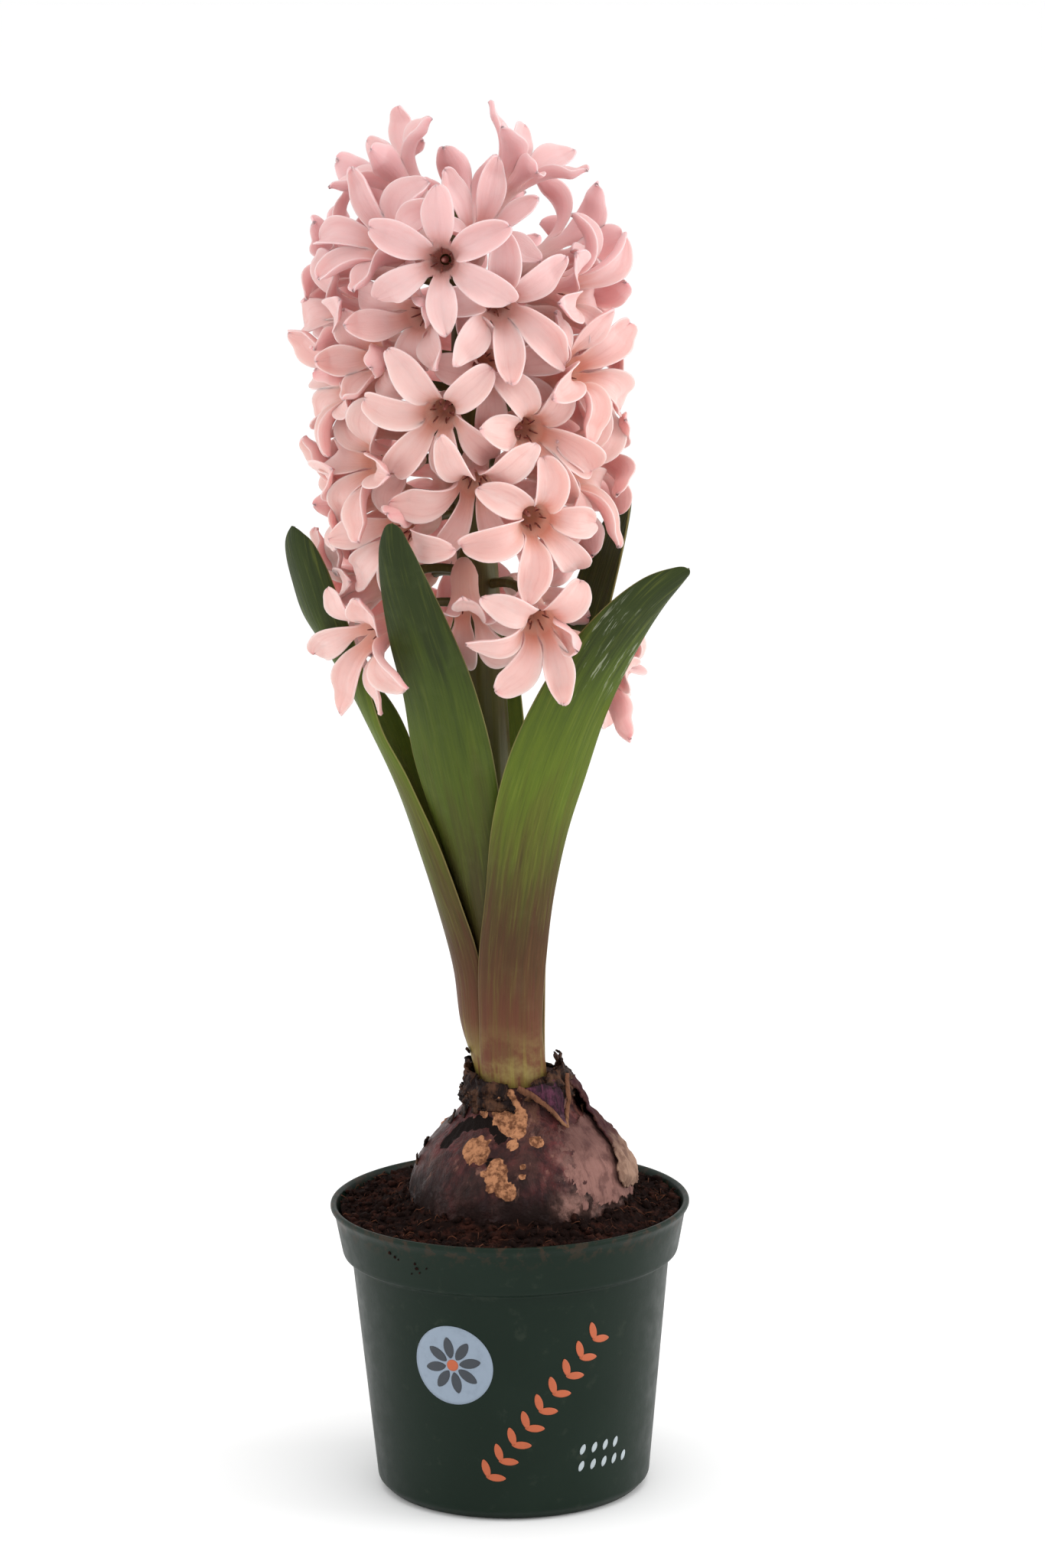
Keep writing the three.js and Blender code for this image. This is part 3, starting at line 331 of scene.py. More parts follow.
pot_finish, tree, shader = finish(
    "green_polypropylene", POT_GREEN, Roughness=0.4, IOR=1.49, Specular_IOR_Level=0.14
)
place = own_place(tree)
fade, _ = mottled(tree, place, 26, 0.35, 0.75)
dust, dust_height = mottled(tree, place, 210, 0.58, 0.74)
height = height_of(tree, place)
near_rim = step_up(tree, height, 66 * MM, 73.4 * MM)
rim_dirt = maths(tree, "MULTIPLY", mottled(tree, place, 320, 0.5, 0.6)[0], near_rim)
worn = tinted(tree, POT_GREEN, fade, 0.35, POT_GREEN_PALE)
dusty = tinted(tree, worn, dust, 0.08, paint(96, 98, 84))
soiled = tinted(tree, dusty, rim_dirt, 0.55, paint(62, 44, 32))
tree.links.new(soiled, shader.inputs["Base Color"])
roughen(tree, shader, dust_height, 0.3, 0.7, 0.36, 0.5)
bump(tree, shader, noise_height(tree, place, 1500.0, 2.0), 0.03, 0.5)
pot_mesh.materials.append(pot_finish)
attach(pot_piece, "root")
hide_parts("pot")


# Print on the pot: a pale round label with a plain rosette, a slanting row of orange leaves
# and a few pale drops. They are ink and film, laid on the wall after moulding.
PRINT_LIFT = 0.06
INK_THICKNESS = 0.05
LABEL_AZIMUTH, LABEL_HEIGHT, LABEL_RADIUS = -112.5, 41.0, 10.3
ROSETTE_LEAVES = 8
ROSETTE_CIRCLE, ROSETTE_TURN, ROSETTE_EYE = 4.6, 10, 1.5
ROSETTE_LEAF = (5.6, 2.6)
SPRAY_FROM, SPRAY_TO = (-99.0, 13.0), (-57.0, 47.5)
SPRAY_LEAVES = 9
SPRAY_LEAF = (5.0, 2.0)
SPRAY_APART, SPRAY_TURN, SPRAY_OPENS = 1.2, 50, 55
DROP_ROWS = [(-53.0, 17.6, 4), (-50.5, 13.2, 5)]
DROP = (2.9, 1.5)
DROP_SPACING, DROP_TURN = 3.4, 70


def wall_radius(height):
    share = (height - POT_BASE_CORNER) / (POT_WALL_TOP - POT_BASE_CORNER)
    return POT_BASE_RADIUS + (POT_WALL_TOP_RADIUS - POT_BASE_RADIUS) * share


def on_wall(azimuth, height, across, up, lift):
    """A spot on the pot's wall, from its azimuth and height and an offset in millimetres."""
    radius = wall_radius(height + up)
    turn = math.radians(azimuth) + across / radius
    reach = (radius + lift) * MM
    return Vector((reach * math.cos(turn), reach * math.sin(turn), (height + up) * MM))


def print_shape(work, outline, azimuth, height, lift, rings=3):
    """A flat printed shape: an outline in millimetres, filled towards its middle."""
    count = len(outline)
    middle = Vector((sum(p[0] for p in outline), sum(p[1] for p in outline))) / count
    flat = bmesh.new()
    bmesh.ops.create_circle(flat, cap_ends=True, cap_tris=True, segments=count, radius=1)
    flat.verts.ensure_lookup_table()
    spokes = [e for e in flat.edges if any(v.co.length < 0.5 for v in e.verts)]
    if spokes:
        bmesh.ops.subdivide_edges(flat, edges=spokes, cuts=rings)
    for vert in flat.verts:
        turn = math.atan2(vert.co.y, vert.co.x) % (2 * math.pi) / (2 * math.pi) * count
        low = int(turn) % count
        corner = Vector(outline[low]).lerp(Vector(outline[(low + 1) % count]), turn - int(turn))
        spot = middle.lerp(corner, min(1, vert.co.length))
        vert.co = on_wall(azimuth, height, spot.x, spot.y, lift)
    flat_mesh = bpy.data.meshes.new("flat")
    flat.to_mesh(flat_mesh)
    flat.free()
    work.from_mesh(flat_mesh)
    bpy.data.meshes.remove(flat_mesh)


def leaf_outline(x, y, length, width, turn, points=22):
    """A pointed oval at (x, y), turned by degrees."""
    outline = []
    for k in range(points):
        angle = 2 * math.pi * k / points
        along = math.cos(angle) * length / 2
        side = math.sin(angle) * abs(math.sin(angle)) ** 0.35 * width / 2
        a = math.radians(turn)
        right = along * math.cos(a) - side * math.sin(a)
        rise = along * math.sin(a) + side * math.cos(a)
        outline.append((x + right, y + rise))
    return outline


def round_outline(x, y, radius, points=72):
    turns = (2 * math.pi * k / points for k in range(points))
    return [(x + radius * math.cos(t), y + radius * math.sin(t)) for t in turns]


def ink(name, colour, roughness):
    """Screen ink or label film, with a faint wear in it."""
    made, tree, shader = finish(name, colour, Roughness=roughness)
    place = own_place(tree)
    wear, wear_height = mottled(tree, place, 420, 0.45, 0.8)
    tone = tuple(c * 0.72 for c in colour[:3]) + (1,)
    worn = tinted(tree, colour, wear, 0.5, tone)
    tree.links.new(worn, shader.inputs["Base Color"])
    bump(tree, shader, wear_height, 0.02, 0.5)
    return made


def face_outwards(work, middle, judges=None):
    """Turns a sheet so that its faces, judged by all or some, look away from a middle."""
    bmesh.ops.recalc_face_normals(work, faces=work.faces)
    faces = judges or work.faces
    if sum((f.calc_center_median() - middle).dot(f.normal) for f in faces) < 0:
        bmesh.ops.reverse_faces(work, faces=work.faces)


def keep_print(name, work, made):
    """Finishes a print: turned to face outwards, then given its thickness."""
    face_outwards(work, Vector((0, 0, 0)))
    bmesh.ops.solidify(work, geom=work.faces, thickness=-INK_THICKNESS * MM)
    bmesh.ops.recalc_face_normals(work, faces=work.faces)
    piece = keep(name, work, [made])
    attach(piece, "root")


label_work = bmesh.new()
print_shape(label_work, round_outline(0, 0, LABEL_RADIUS), LABEL_AZIMUTH, LABEL_HEIGHT, PRINT_LIFT, 9)
keep_print("label_disc", label_work, ink("label_film", paint(133, 147, 163), 0.38))

rosette_work = bmesh.new()
for k in range(ROSETTE_LEAVES):
    turn = k * 360 / ROSETTE_LEAVES + ROSETTE_TURN
    x = ROSETTE_CIRCLE * math.cos(math.radians(turn))
    y = ROSETTE_CIRCLE * math.sin(math.radians(turn))
    petal = leaf_outline(x, y, *ROSETTE_LEAF, turn)
    print_shape(rosette_work, petal, LABEL_AZIMUTH, LABEL_HEIGHT, 2 * PRINT_LIFT)
keep_print("label_rosette", rosette_work, ink("slate_ink", paint(44, 50, 58), 0.42))

orange_work = bmesh.new()
eye = round_outline(0, 0, ROSETTE_EYE, 28)
print_shape(orange_work, eye, LABEL_AZIMUTH, LABEL_HEIGHT, 2 * PRINT_LIFT)
for k in range(SPRAY_LEAVES):
    share = k / (SPRAY_LEAVES - 1)
    azimuth = SPRAY_FROM[0] + (SPRAY_TO[0] - SPRAY_FROM[0]) * share
    rise = SPRAY_FROM[1] + (SPRAY_TO[1] - SPRAY_FROM[1]) * share
    for side in (-1, 1):
        turn = SPRAY_TURN + SPRAY_OPENS * side
        petal = leaf_outline(-SPRAY_APART * side, SPRAY_APART * side, *SPRAY_LEAF, turn)
        print_shape(orange_work, petal, azimuth, rise, PRINT_LIFT)
keep_print("leaf_spray", orange_work, ink("orange_ink", paint(176, 84, 44), 0.45))

drops_work = bmesh.new()
for azimuth, rise, count in DROP_ROWS:
    for k in range(count):
        x = (k - (count - 1) / 2) * DROP_SPACING
        drop = leaf_outline(x, 0, *DROP, DROP_TURN, 14)
        print_shape(drops_work, drop, azimuth, rise, PRINT_LIFT, 2)
keep_print("pale_drops", drops_work, ink("pale_ink", paint(168, 178, 182), 0.42))


# Soil: a peat mix of dark crumbs and rusty fibres, filled to just under the rim and heaped a
# little against the bulb, with loose bits of it on top and on the pot's band.
SOIL_LEVEL = 71.8
SOIL_EDGE_LEVEL = 71.2
SOIL_MOUND = 1.5
SOIL_MOUND_RADIUS, SOIL_MOUND_SPAN = 38, 14
SOIL_LOW = 2
SOIL_HEAP = 1.6
SOIL_HEAP_SPAN = 6
SOIL_STEPS = 220
SOIL_LUMP = 1.35
SOIL_EDGE_RISE = 0.8
SOIL_EDGE_FROM, SOIL_EDGE_SPAN = 36, 5
SOIL_RINGS, SOIL_RING_STEP = 46, 0.55
OPEN_SOIL_FROM, OPEN_SOIL_TO = 20, 42.6
SOIL_SEED = 41
NOISE_SEED = 7
CRUMBS = 760
CRUMB_LEAST, CRUMB_MORE, CRUMB_TORN = 0.45, 1.15, 0.3
BIT_RADIUS, BIT_TORN = 0.7, 0.4
# Bits of peat stuck to the pot's band: azimuth, height and size.
BAND_BITS = [
    (-132.6, 69.0, 0.75), (-130.8, 68.2, 0.55), (-129.4, 67.7, 0.4), (-122.6, 67.4, 0.6),
    (-122.2, 66.2, 0.75), (-121.2, 65.2, 0.4), (-118.4, 66.6, 0.45), (-124.4, 64.6, 0.35),
]
FIBRES = 210
FIBRE_RADII = (0.06, 0.13, 0.14, 0.12, 0.05)
FIBRE_REACH = 42.8
BULB_X = 2.6
BULB_AT_SOIL = 28.0
SOIL_DARK = paint(25, 13, 10)
SOIL_RUST = paint(62, 33, 25)


def smooth(t):
    s = min(1, max(0, t))
    return s * s * (3 - 2 * s)


def soil_height(x, y):
    """The soil's surface in millimetres, at a spot in millimetres."""
    radius = math.hypot(x, y)
    level = SOIL_LEVEL + SOIL_MOUND * smooth((SOIL_MOUND_RADIUS - radius) / SOIL_MOUND_SPAN)
    edge = smooth((radius - SOIL_EDGE_FROM) / SOIL_EDGE_SPAN)
    level += (SOIL_EDGE_LEVEL - SOIL_LEVEL + SOIL_EDGE_RISE) * edge
    off_bulb = math.hypot(x - BULB_X, y)
    heap = SOIL_HEAP * smooth((BULB_AT_SOIL + SOIL_HEAP_SPAN - off_bulb) / SOIL_HEAP_SPAN)
    coarse = noise.noise(Vector((x, y, 3)) * 0.22)
    fine = noise.fractal(Vector((x, y, 9)) * 0.75, 0.7, 2.1, 4)
    return level + heap + SOIL_LUMP * (0.55 * coarse + 0.75 * fine)


soil_profile = [(0, SOIL_LOW), (POT_BASE_RADIUS - 2.2, SOIL_LOW)]
soil_profile.append((POT_WALL_TOP_RADIUS - POT_WALL - 0.3, POT_WALL_TOP))
soil_profile.append((POT_BAND_RADIUS - POT_WALL - 0.4, POT_BAND_FOOT + 1.2))
for k in range(SOIL_RINGS):
    soil_profile.append((POT_LIP_RADIUS - POT_WALL - 0.2 - k * SOIL_RING_STEP, SOIL_LEVEL))
soil_profile.append((0, SOIL_LEVEL))
soil_work = bmesh.new()
turn_profile(soil_work, soil_profile, SOIL_STEPS)
for vert in soil_work.verts:
    if vert.co.z > (SOIL_LEVEL - 1) * MM:
        vert.co.z = soil_height(vert.co.x / MM, vert.co.y / MM) * MM

soil_finish, tree, shader = finish("peat", SOIL_DARK, Roughness=0.95, Specular_IOR_Level=0.08)
place = own_place(tree)
rust, _ = mottled(tree, place, 240, 0.48, 0.66)
pale, _ = mottled(tree, place, 900, 0.6, 0.72)
crumb_height = mottled(tree, place, 700, 0.3, 0.7)[1]
peat = tinted(tree, SOIL_DARK, rust, 0.75, SOIL_RUST)
peat = tinted(tree, peat, pale, 0.4, paint(104, 64, 46))
tree.links.new(peat, shader.inputs["Base Color"])
bump(tree, shader, crumb_height, 0.9)
soil_piece = keep("peat_bed", soil_work, [soil_finish])
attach(soil_piece, "root")
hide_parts("soil")

# The crumbs and the dry skins use vector noise, which starts from the clock unless it is seeded.
noise.seed_set(NOISE_SEED)
draw = random.Random(SOIL_SEED)


def loose_spot():
    """A seeded spot on the open soil, in millimetres."""
    while True:
        turn = draw.uniform(0, 2 * math.pi)
        radius = math.sqrt(draw.uniform(OPEN_SOIL_FROM ** 2, OPEN_SOIL_TO ** 2))
        x, y = radius * math.cos(turn), radius * math.sin(turn)
        if math.hypot(x - BULB_X, y) > BULB_AT_SOIL - 0.6:
            return x, y


def crumb(work, matrix, radius, torn):
    """One rough lump of peat, its radius and roughness in millimetres."""
    grown = bmesh.ops.create_icosphere(work, subdivisions=1, radius=radius * MM, matrix=matrix)
    for vert in grown["verts"]:
        vert.co += noise.noise_vector(vert.co / MM * 1.3) * torn * MM


crumbs_work = bmesh.new()
for _ in range(CRUMBS):
    x, y = loose_spot()
    size = CRUMB_LEAST + CRUMB_MORE * draw.random() ** 2.6
    spin = Matrix.Rotation(draw.uniform(0, 6.3), 4, Vector((draw.random(), draw.random(), 1)))
    shape = Matrix.Diagonal((size * draw.uniform(0.6, 1.3), size, size * draw.uniform(0.5, 0.9), 1))
    place = Vector((x, y, soil_height(x, y) + 0.25 * size)) * MM
    crumb(crumbs_work, Matrix.Translation(place) @ spin @ shape, 1, CRUMB_TORN * size)
for azimuth, height, size in BAND_BITS:
    share = (height - POT_BAND_FOOT) / (POT_LIP_FOOT - POT_BAND_FOOT)
    radius = POT_BAND_RADIUS + (POT_LIP_RADIUS - POT_BAND_RADIUS) * share
    turn = math.radians(azimuth)
    place = Vector((radius * math.cos(turn), radius * math.sin(turn), height)) * MM
    crumb(crumbs_work, Matrix.Translation(place), BIT_RADIUS * size, BIT_TORN * size)
crumbs_piece = keep("loose_crumbs", crumbs_work, [soil_finish])
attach(crumbs_piece, "root")


def strand(work, points, radii, sides):
    """A closed round strand through points, with a radius at each, all in metres."""
    rings = []
    for k, (point, radius) in enumerate(zip(points, radii)):
        ahead = points[min(k + 1, len(points) - 1)] - points[max(k - 1, 0)]
        turned = Matrix.Translation(point) @ ahead.to_track_quat("Z", "Y").to_matrix().to_4x4()
        made = bmesh.ops.create_circle(work, segments=sides, radius=max(radius, 1e-6), matrix=turned)
        ring = set(made["verts"])
        rings.append(list({edge for vert in ring for edge in vert.link_edges}))
    for first, second in zip(rings, rings[1:]):
        bmesh.ops.bridge_loops(work, edges=first + second)
    for ring in (rings[0], rings[-1]):
        bmesh.ops.holes_fill(work, edges=ring)


fibres_work = bmesh.new()
for _ in range(FIBRES):
    x, y = loose_spot()
    heading = draw.uniform(0, 2 * math.pi)
    length = draw.uniform(1.6, 4.6)
    bend = draw.uniform(-0.9, 0.9)
    arch = draw.uniform(0.1, 0.9)
    points = []
    for k in range(len(FIBRE_RADII)):
        share = k / (len(FIBRE_RADII) - 1)
        turn = heading + bend * share
        px = x + (share - 0.5) * length * math.cos(turn)
        py = y + (share - 0.5) * length * math.sin(turn)
        inside = min(1, FIBRE_REACH / max(1e-6, math.hypot(px, py)))
        px, py = px * inside, py * inside
        lift = 0.1 + arch * math.sin(math.pi * share)
        points.append(Vector((px, py, soil_height(px, py) + lift)) * MM)
    strand(fibres_work, points, [radius * MM for radius in FIBRE_RADII], 3)
bmesh.ops.recalc_face_normals(fibres_work, faces=fibres_work.faces)
fibre_finish, tree, shader = finish("peat_fibre", paint(82, 48, 34), Roughness=0.9, Specular_IOR_Level=0.15)
tone, _ = mottled(tree, own_place(tree), 160, 0.4, 0.65)
tree.links.new(
    blend_colours(tree, tone, paint(44, 24, 17), paint(100, 60, 42)), shader.inputs["Base Color"]
)
fibres_piece = keep("peat_fibres", fibres_work, [fibre_finish])
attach(fibres_piece, "root")


# Bulb: a firm onion-like bulb, half out of the soil. Its skin is a satin purple-brown tunic
# with faint upright veins, scabs of pale cork, a dark bruise and peat stuck to its foot.
BULB_OUTLINE = [
    (0, 46), (10, 46.6), (17, 50), (23, 56), (27, 64), (28.1, 71), (27.8, 76.5), (26.2, 82.4),
    (22.6, 88.6), (18.2, 93.4), (14.6, 97.4), (12.9, 102.2), (12.4, 104.6),
]
NECK_HOLE_RADIUS = 10.5
NECK_FLOOR = 93
BULB_STEPS = 260
BULB_FINE_FROM, BULB_FINE_STEP = 58.0, 0.55
BULB_SKIN_FROM = 57
# Marks by azimuth, height and radius in millimetres.
SCABS = [
    (-120, 90.9, 3.7), (-123.5, 92, 2.4), (-103.5, 87.6, 2.5), (-103.5, 84.9, 2.9), (-97.5, 82.6, 2.4),
    (-111.5, 86.2, 0.9), (-99.5, 98.2, 4.3), (-93, 95.4, 2.5), (-104, 102.4, 2.6), (-95, 92.6, 1.6),
    (-77, 92.8, 1.7), (-88, 88, 0.9), (-88.5, 85.8, 0.8), (-128, 98.6, 1.2), (118, 88, 3.2),
    (126, 85.4, 2.2), (42, 90, 2.0), (160, 92, 1.6),
]
BRUISES = [
    (-152, 91, 2.2), (-149.5, 93.4, 2.4), (-141, 95.4, 2.2), (-131, 96.4, 2.0), (-121, 96.6, 1.8),
    (-111, 95.6, 2.0), (-104, 94.0, 1.8), (-108, 88.6, 1.4), (70, 86, 3),
]
# Painted highlight: pale patches, mostly on the front right of the satin skin, where the light falls on it.
PAINTED_HIGHLIGHT_PATCHES = [(-51, 84.8, 7.5), (-44, 88.5, 6), (-56, 78, 6.5), (-40, 80, 7), (130, 79, 8)]


def along_table(table, at):
    """A value from (place, value) rows, on a smooth curve through them."""
    if at <= table[0][0]:
        return table[0][1]
    for k in range(1, len(table)):
        x0, y0 = table[k - 1]
        x1, y1 = table[k]
        if at <= x1:
            u = (at - x0) / (x1 - x0)
            xa, ya = table[max(k - 2, 0)]
            xb, yb = table[min(k + 1, len(table) - 1)]
            m0 = (y1 - ya) / (x1 - xa) * (x1 - x0)
            m1 = (yb - y0) / (xb - x0) * (x1 - x0)
            return (
                (2 * u ** 3 - 3 * u ** 2 + 1) * y0 + (u ** 3 - 2 * u ** 2 + u) * m0
                + (3 * u ** 2 - 2 * u ** 3) * y1 + (u ** 3 - u ** 2) * m1
            )
    return table[-1][1]


BULB_SIDE = [(height, radius) for radius, height in BULB_OUTLINE[1:]]


def bulb_spot(azimuth, height, out=0.0):
    """A spot on the smooth side of the bulb in millimetres, moved out by some."""
    radius = along_table(BULB_SIDE, height) + out
    turn = math.radians(azimuth)
    return Vector((BULB_X + radius * math.cos(turn), radius * math.sin(turn), height))


def off_axis(spot):
    """The level way to a spot from the bulb's axis."""
    return Vector((spot.x - BULB_X, spot.y, 0))


def mark(spot, marks, soft=0.5):
    """How far a spot lies in any of some round marks with torn edges, 0 to 1."""
    most = 0.0
    for azimuth, height, radius in marks:
        far = (spot - bulb_spot(azimuth, height)).length
        if far > radius * 2:
            continue
        torn = 0.3 * noise.fractal(spot * 0.55, 0.8, 2.2, 3)
        most = max(most, smooth((1 + soft / 2 - far / radius + torn) / soft))
    return most


def bulb_bumps(spot):
    """How far the skin stands out of the smooth side, in millimetres."""
    turn = math.atan2(spot.y, spot.x - BULB_X)
    lumps = 0.55 * noise.noise(spot * 0.07) + 0.3 * noise.noise(spot * 0.2)
    ribs = 0.07 * noise.noise(Vector((math.cos(turn) * 9, math.sin(turn) * 9, spot.z * 0.03)))
    creases = 0.2 * noise.fractal(Vector((spot.x, spot.y, spot.z * 0.6)) * 0.5, 0.8, 2.0, 4)
    return lumps + ribs + creases


bulb_profile = [BULB_OUTLINE[0]] + [(radius, height) for radius, height in BULB_OUTLINE[1:4]]
height = BULB_FINE_FROM
while height < BULB_OUTLINE[-1][1]:
    bulb_profile.append((along_table(BULB_SIDE, height), height))
    height += BULB_FINE_STEP
bulb_profile.append((NECK_HOLE_RADIUS + 1.2, BULB_OUTLINE[-1][1] + 0.3))
bulb_profile.append((NECK_HOLE_RADIUS, BULB_OUTLINE[-1][1] - 1))
bulb_profile += [(NECK_HOLE_RADIUS, NECK_FLOOR), (0, NECK_FLOOR)]
bulb_work = bmesh.new()
turn_profile(bulb_work, bulb_profile, BULB_STEPS, (BULB_X, 0))
cork_layer = bulb_work.verts.layers.float.new("cork")
bruise_layer = bulb_work.verts.layers.float.new("bruise")
painted_highlight_layer = bulb_work.verts.layers.float.new("pale")
for vert in bulb_work.verts:
    spot = vert.co / MM
    out = off_axis(spot)
    if spot.z < BULB_SKIN_FROM or out.length < NECK_HOLE_RADIUS + 0.8:
        continue
    cork = mark(spot, SCABS)
    bruise = mark(spot, BRUISES)
    vert[cork_layer] = cork
    vert[bruise_layer] = bruise
    vert[painted_highlight_layer] = mark(spot, PAINTED_HIGHLIGHT_PATCHES, 1.0)
    crust = cork * (0.45 + 0.5 * noise.fractal(spot * 1.6, 0.6, 2.2, 3))
    dent = -0.35 * bruise * (1 + noise.noise(spot * 1.1))
    vert.co += out.normalized() * (bulb_bumps(spot) + crust + dent) * MM


def attribute(tree, name):
    return add_node(tree, "Attribute", attribute_name=name)


def mark_share(tree, place, name, scale, broken, high):
    """Where a mark of the mesh shows, its edge broken up by a fine mottle."""
    mask = attribute(tree, name).outputs["Fac"]
    rough_edge = maths(tree, "MULTIPLY", mottled(tree, place, scale, 0.3, 0.7)[1], broken)
    return step_up(tree, maths(tree, "ADD", mask, rough_edge), 0.62, high)


SKIN = paint(76, 46, 42)
SKIN_DARK = paint(25, 15, 14)
SKIN_RED = paint(100, 42, 44)
bulb_finish, tree, shader = finish("bulb_skin", SKIN, Roughness=0.4, Specular_IOR_Level=0.12)
place = own_place(tree)
upright_veins = add_node(tree, "Mapping", {"Vector": place, "Scale": (1, 1, 0.2)}).outputs[0]
veins = noise_height(tree, upright_veins, 330.0, 5.0, Roughness=0.6)
folds = noise_height(tree, place, 150.0, 6.0, Roughness=0.7, Distortion=0.8)
height = height_of(tree, place)
dark_patch, _ = mottled(tree, place, 44, 0.42, 0.6)
red_patch, _ = mottled(tree, place, 62, 0.44, 0.62)
skin = tinted(tree, SKIN, red_patch, 0.7, SKIN_RED)
# Tan on the fold crests near the top: partly the dry top's own tan, partly a painted highlight on the raised
# folds.
tan_top_and_crest_highlight = maths(tree, "MULTIPLY", step_up(tree, height, 92 * MM, 99 * MM), step_up(tree, folds, 0.45, 0.6))
skin = tinted(tree, skin, tan_top_and_crest_highlight, 0.6, paint(112, 76, 58))
skin = tinted(tree, skin, dark_patch, 0.85, SKIN_DARK)
# Painted shade: the fold valleys, low in the bump, are darkened towards the dark skin colour.
skin = tinted(tree, skin, step_up(tree, folds, 0.5, 0.4), 0.5, SKIN_DARK)
skin = tinted(tree, skin, step_up(tree, veins, 0.5, 0.62), 0.65, paint(34, 17, 20))
skin = tinted(tree, skin, step_up(tree, veins, 0.42, 0.3), 0.6, paint(134, 94, 82))
low = maths(tree, "MULTIPLY", step_up(tree, height, 84 * MM, 73 * MM), 0.7)
skin = blend_colours(tree, low, skin, paint(26, 17, 16))
# Painted highlight: the skin turns paler in the marked patches, broken up by a mottle.
uneven = maths(tree, "MULTIPLY", mottled(tree, place, 120, 0.35, 0.6)[0], 0.75)
painted_highlight_share = maths(tree, "MULTIPLY", attribute(tree, "pale").outputs["Fac"], uneven)
skin = blend_colours(tree, painted_highlight_share, skin, paint(150, 110, 100))
foot_peat = maths(
    tree, "MULTIPLY", step_up(tree, height, 86 * MM, 74 * MM), mottled(tree, place, 170, 0.42, 0.54)[0]
)
skin = tinted(tree, skin, foot_peat, 0.85, SOIL_DARK)
bruise_share = mark_share(tree, place, "bruise", 600, 0.6, 0.8)
skin = blend_colours(tree, bruise_share, skin, paint(20, 12, 10))
cork_share = mark_share(tree, place, "cork", 500, 0.5, 0.82)
cork_tone = blend_colours(
    tree, mottled(tree, place, 640, 0.4, 0.64)[0], paint(180, 126, 91), paint(104, 66, 46)
)
skin = blend_colours(tree, cork_share, skin, cork_tone)
tree.links.new(skin, shader.inputs["Base Color"])
dull = maths(tree, "MAXIMUM", bruise_share, maths(tree, "MAXIMUM", cork_share, foot_peat))
roughen(tree, shader, dull, 0.0, 1.0, 0.38, 0.9)
wrinkle = noise_height(tree, place, 520.0, 5.0)
relief = maths(tree, "ADD", maths(tree, "MULTIPLY", veins, 0.6), maths(tree, "MULTIPLY", wrinkle, 0.7))
bump(tree, shader, maths(tree, "ADD", relief, folds), 0.9)
bulb_piece = keep("bulb_body", bulb_work, [bulb_finish])
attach(bulb_piece, "root")
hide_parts("bulb")


# Dry skins: torn, papery layers of the bulb's tunic. A beige flap stands off the right side,
# a purple scale and a curled strip hang by it, and crumpled collars ring the neck.
SHEET_THICKNESS = 0.45
NECK_TOP = 104.6
NECK_BLEND = 3
SLIT_FOOT, SLIT_REACH = (-58, 77.4, 0.3), 1.1

# Each sheet: its two side edges from low to high as (azimuth, height, lift), how far its
# middle bellies out, how deep its edges are torn and how much it is crumpled.
PAPER_TUNIC = dict(
    left=[(-66, 76.6, -0.5), (-68, 82, -0.4), (-65, 87, -0.4), (-60, 91.5, -0.4), (-54, 95.6, -0.3)],
    right=[(14, 75.2, 0.3), (14, 81, 0.4), (14, 87, 0.4), (10, 92, 0.5), (2, 96, 0.5)],
    belly=0.15, torn=1.3, crumple=0.22, seed=3,
)
OUTER_FLAP = dict(
    left=[(-24, 78.6, 1.1), (-28.5, 82.2, 1.7), (-23, 86.4, 1.9), (-17, 90.2, 2.0),
          (-16, 93.4, 2.2), (-9, 96.4, 2.8), (-11, 100, 3.0), (-19, 103.4, 1.7), (-25, 105.6, 0.3)],
    right=[(37, 76, 0.2), (39, 80, 0.3), (39, 85, 0.3), (38, 89.5, 0.3), (36, 93.4, 0.4),
           (32, 97, 0.4), (27, 100.4, 0.4), (20, 103.4, 0.3), (14, 105.8, 0.0)],
    belly=1.1, torn=0.9, crumple=0.45, seed=8,
)
PURPLE_SCALE = dict(
    left=[(-49, 95.8, 1.0), (-55, 98.6, 1.2), (-64, 101.4, 1.2), (-78, 104.2, 1.0), (-88, 105.2, 0.6)],
    right=[(-47.5, 95.6, 1.1), (-43, 98.6, 1.6), (-42, 101.6, 1.7), (-43, 104.6, 1.4), (-46, 106.6, 0.6)],
    belly=0.3, torn=0.25, crumple=0.16, seed=12,
)
SCALE_RIDGE = dict(
    left=[(-49.6, 95.2, 1.4), (-56.5, 98.0, 1.8), (-66, 100.6, 1.9), (-80, 103.4, 1.6), (-92, 105.0, 0.9)],
    right=[(-48.4, 95.6, 1.6), (-54.6, 98.9, 2.0), (-63.6, 101.6, 2.1), (-77, 104.5, 1.8), (-90, 106.2, 1.0)],
    belly=0.3, torn=0.3, crumple=0.2, seed=17,
)
CURLED_STRIP = dict(
    left=[(-49, 95.2, 1.2), (-43.6, 98.6, 1.8), (-39.6, 101.8, 2.2), (-35, 105, 1.8), (-29, 107.4, 0.8)],
    right=[(-47.4, 95.0, 1.3), (-40.6, 98.6, 2.1), (-36, 101.8, 2.6), (-30.6, 105, 2.2), (-25, 107.2, 1.1)],
    belly=0.35, torn=0.3, crumple=0.18, seed=21,
)
RIGHT_COLLAR = dict(
    left=[(-86, 101.8, 0.6), (-84, 103.4, 0.6), (-80, 104.8, 0.1), (-74, 106.2, -0.9)],
    right=[(20, 101.2, 0.6), (18, 104.4, 0.2), (14, 108.0, -2.0), (6, 111.4, -3.6)],
    belly=0.5, torn=0.9, crumple=0.95, seed=27,
)
RIGHT_CURL = dict(
    left=[(-62, 104.6, 0.4), (-60, 106.0, 0.2), (-54, 107.6, -0.9)],
    right=[(8, 105.4, -0.3), (4, 108.6, -1.9), (-2, 112.2, -3.2)],
    belly=1.1, torn=1.0, crumple=0.95, seed=31,
)
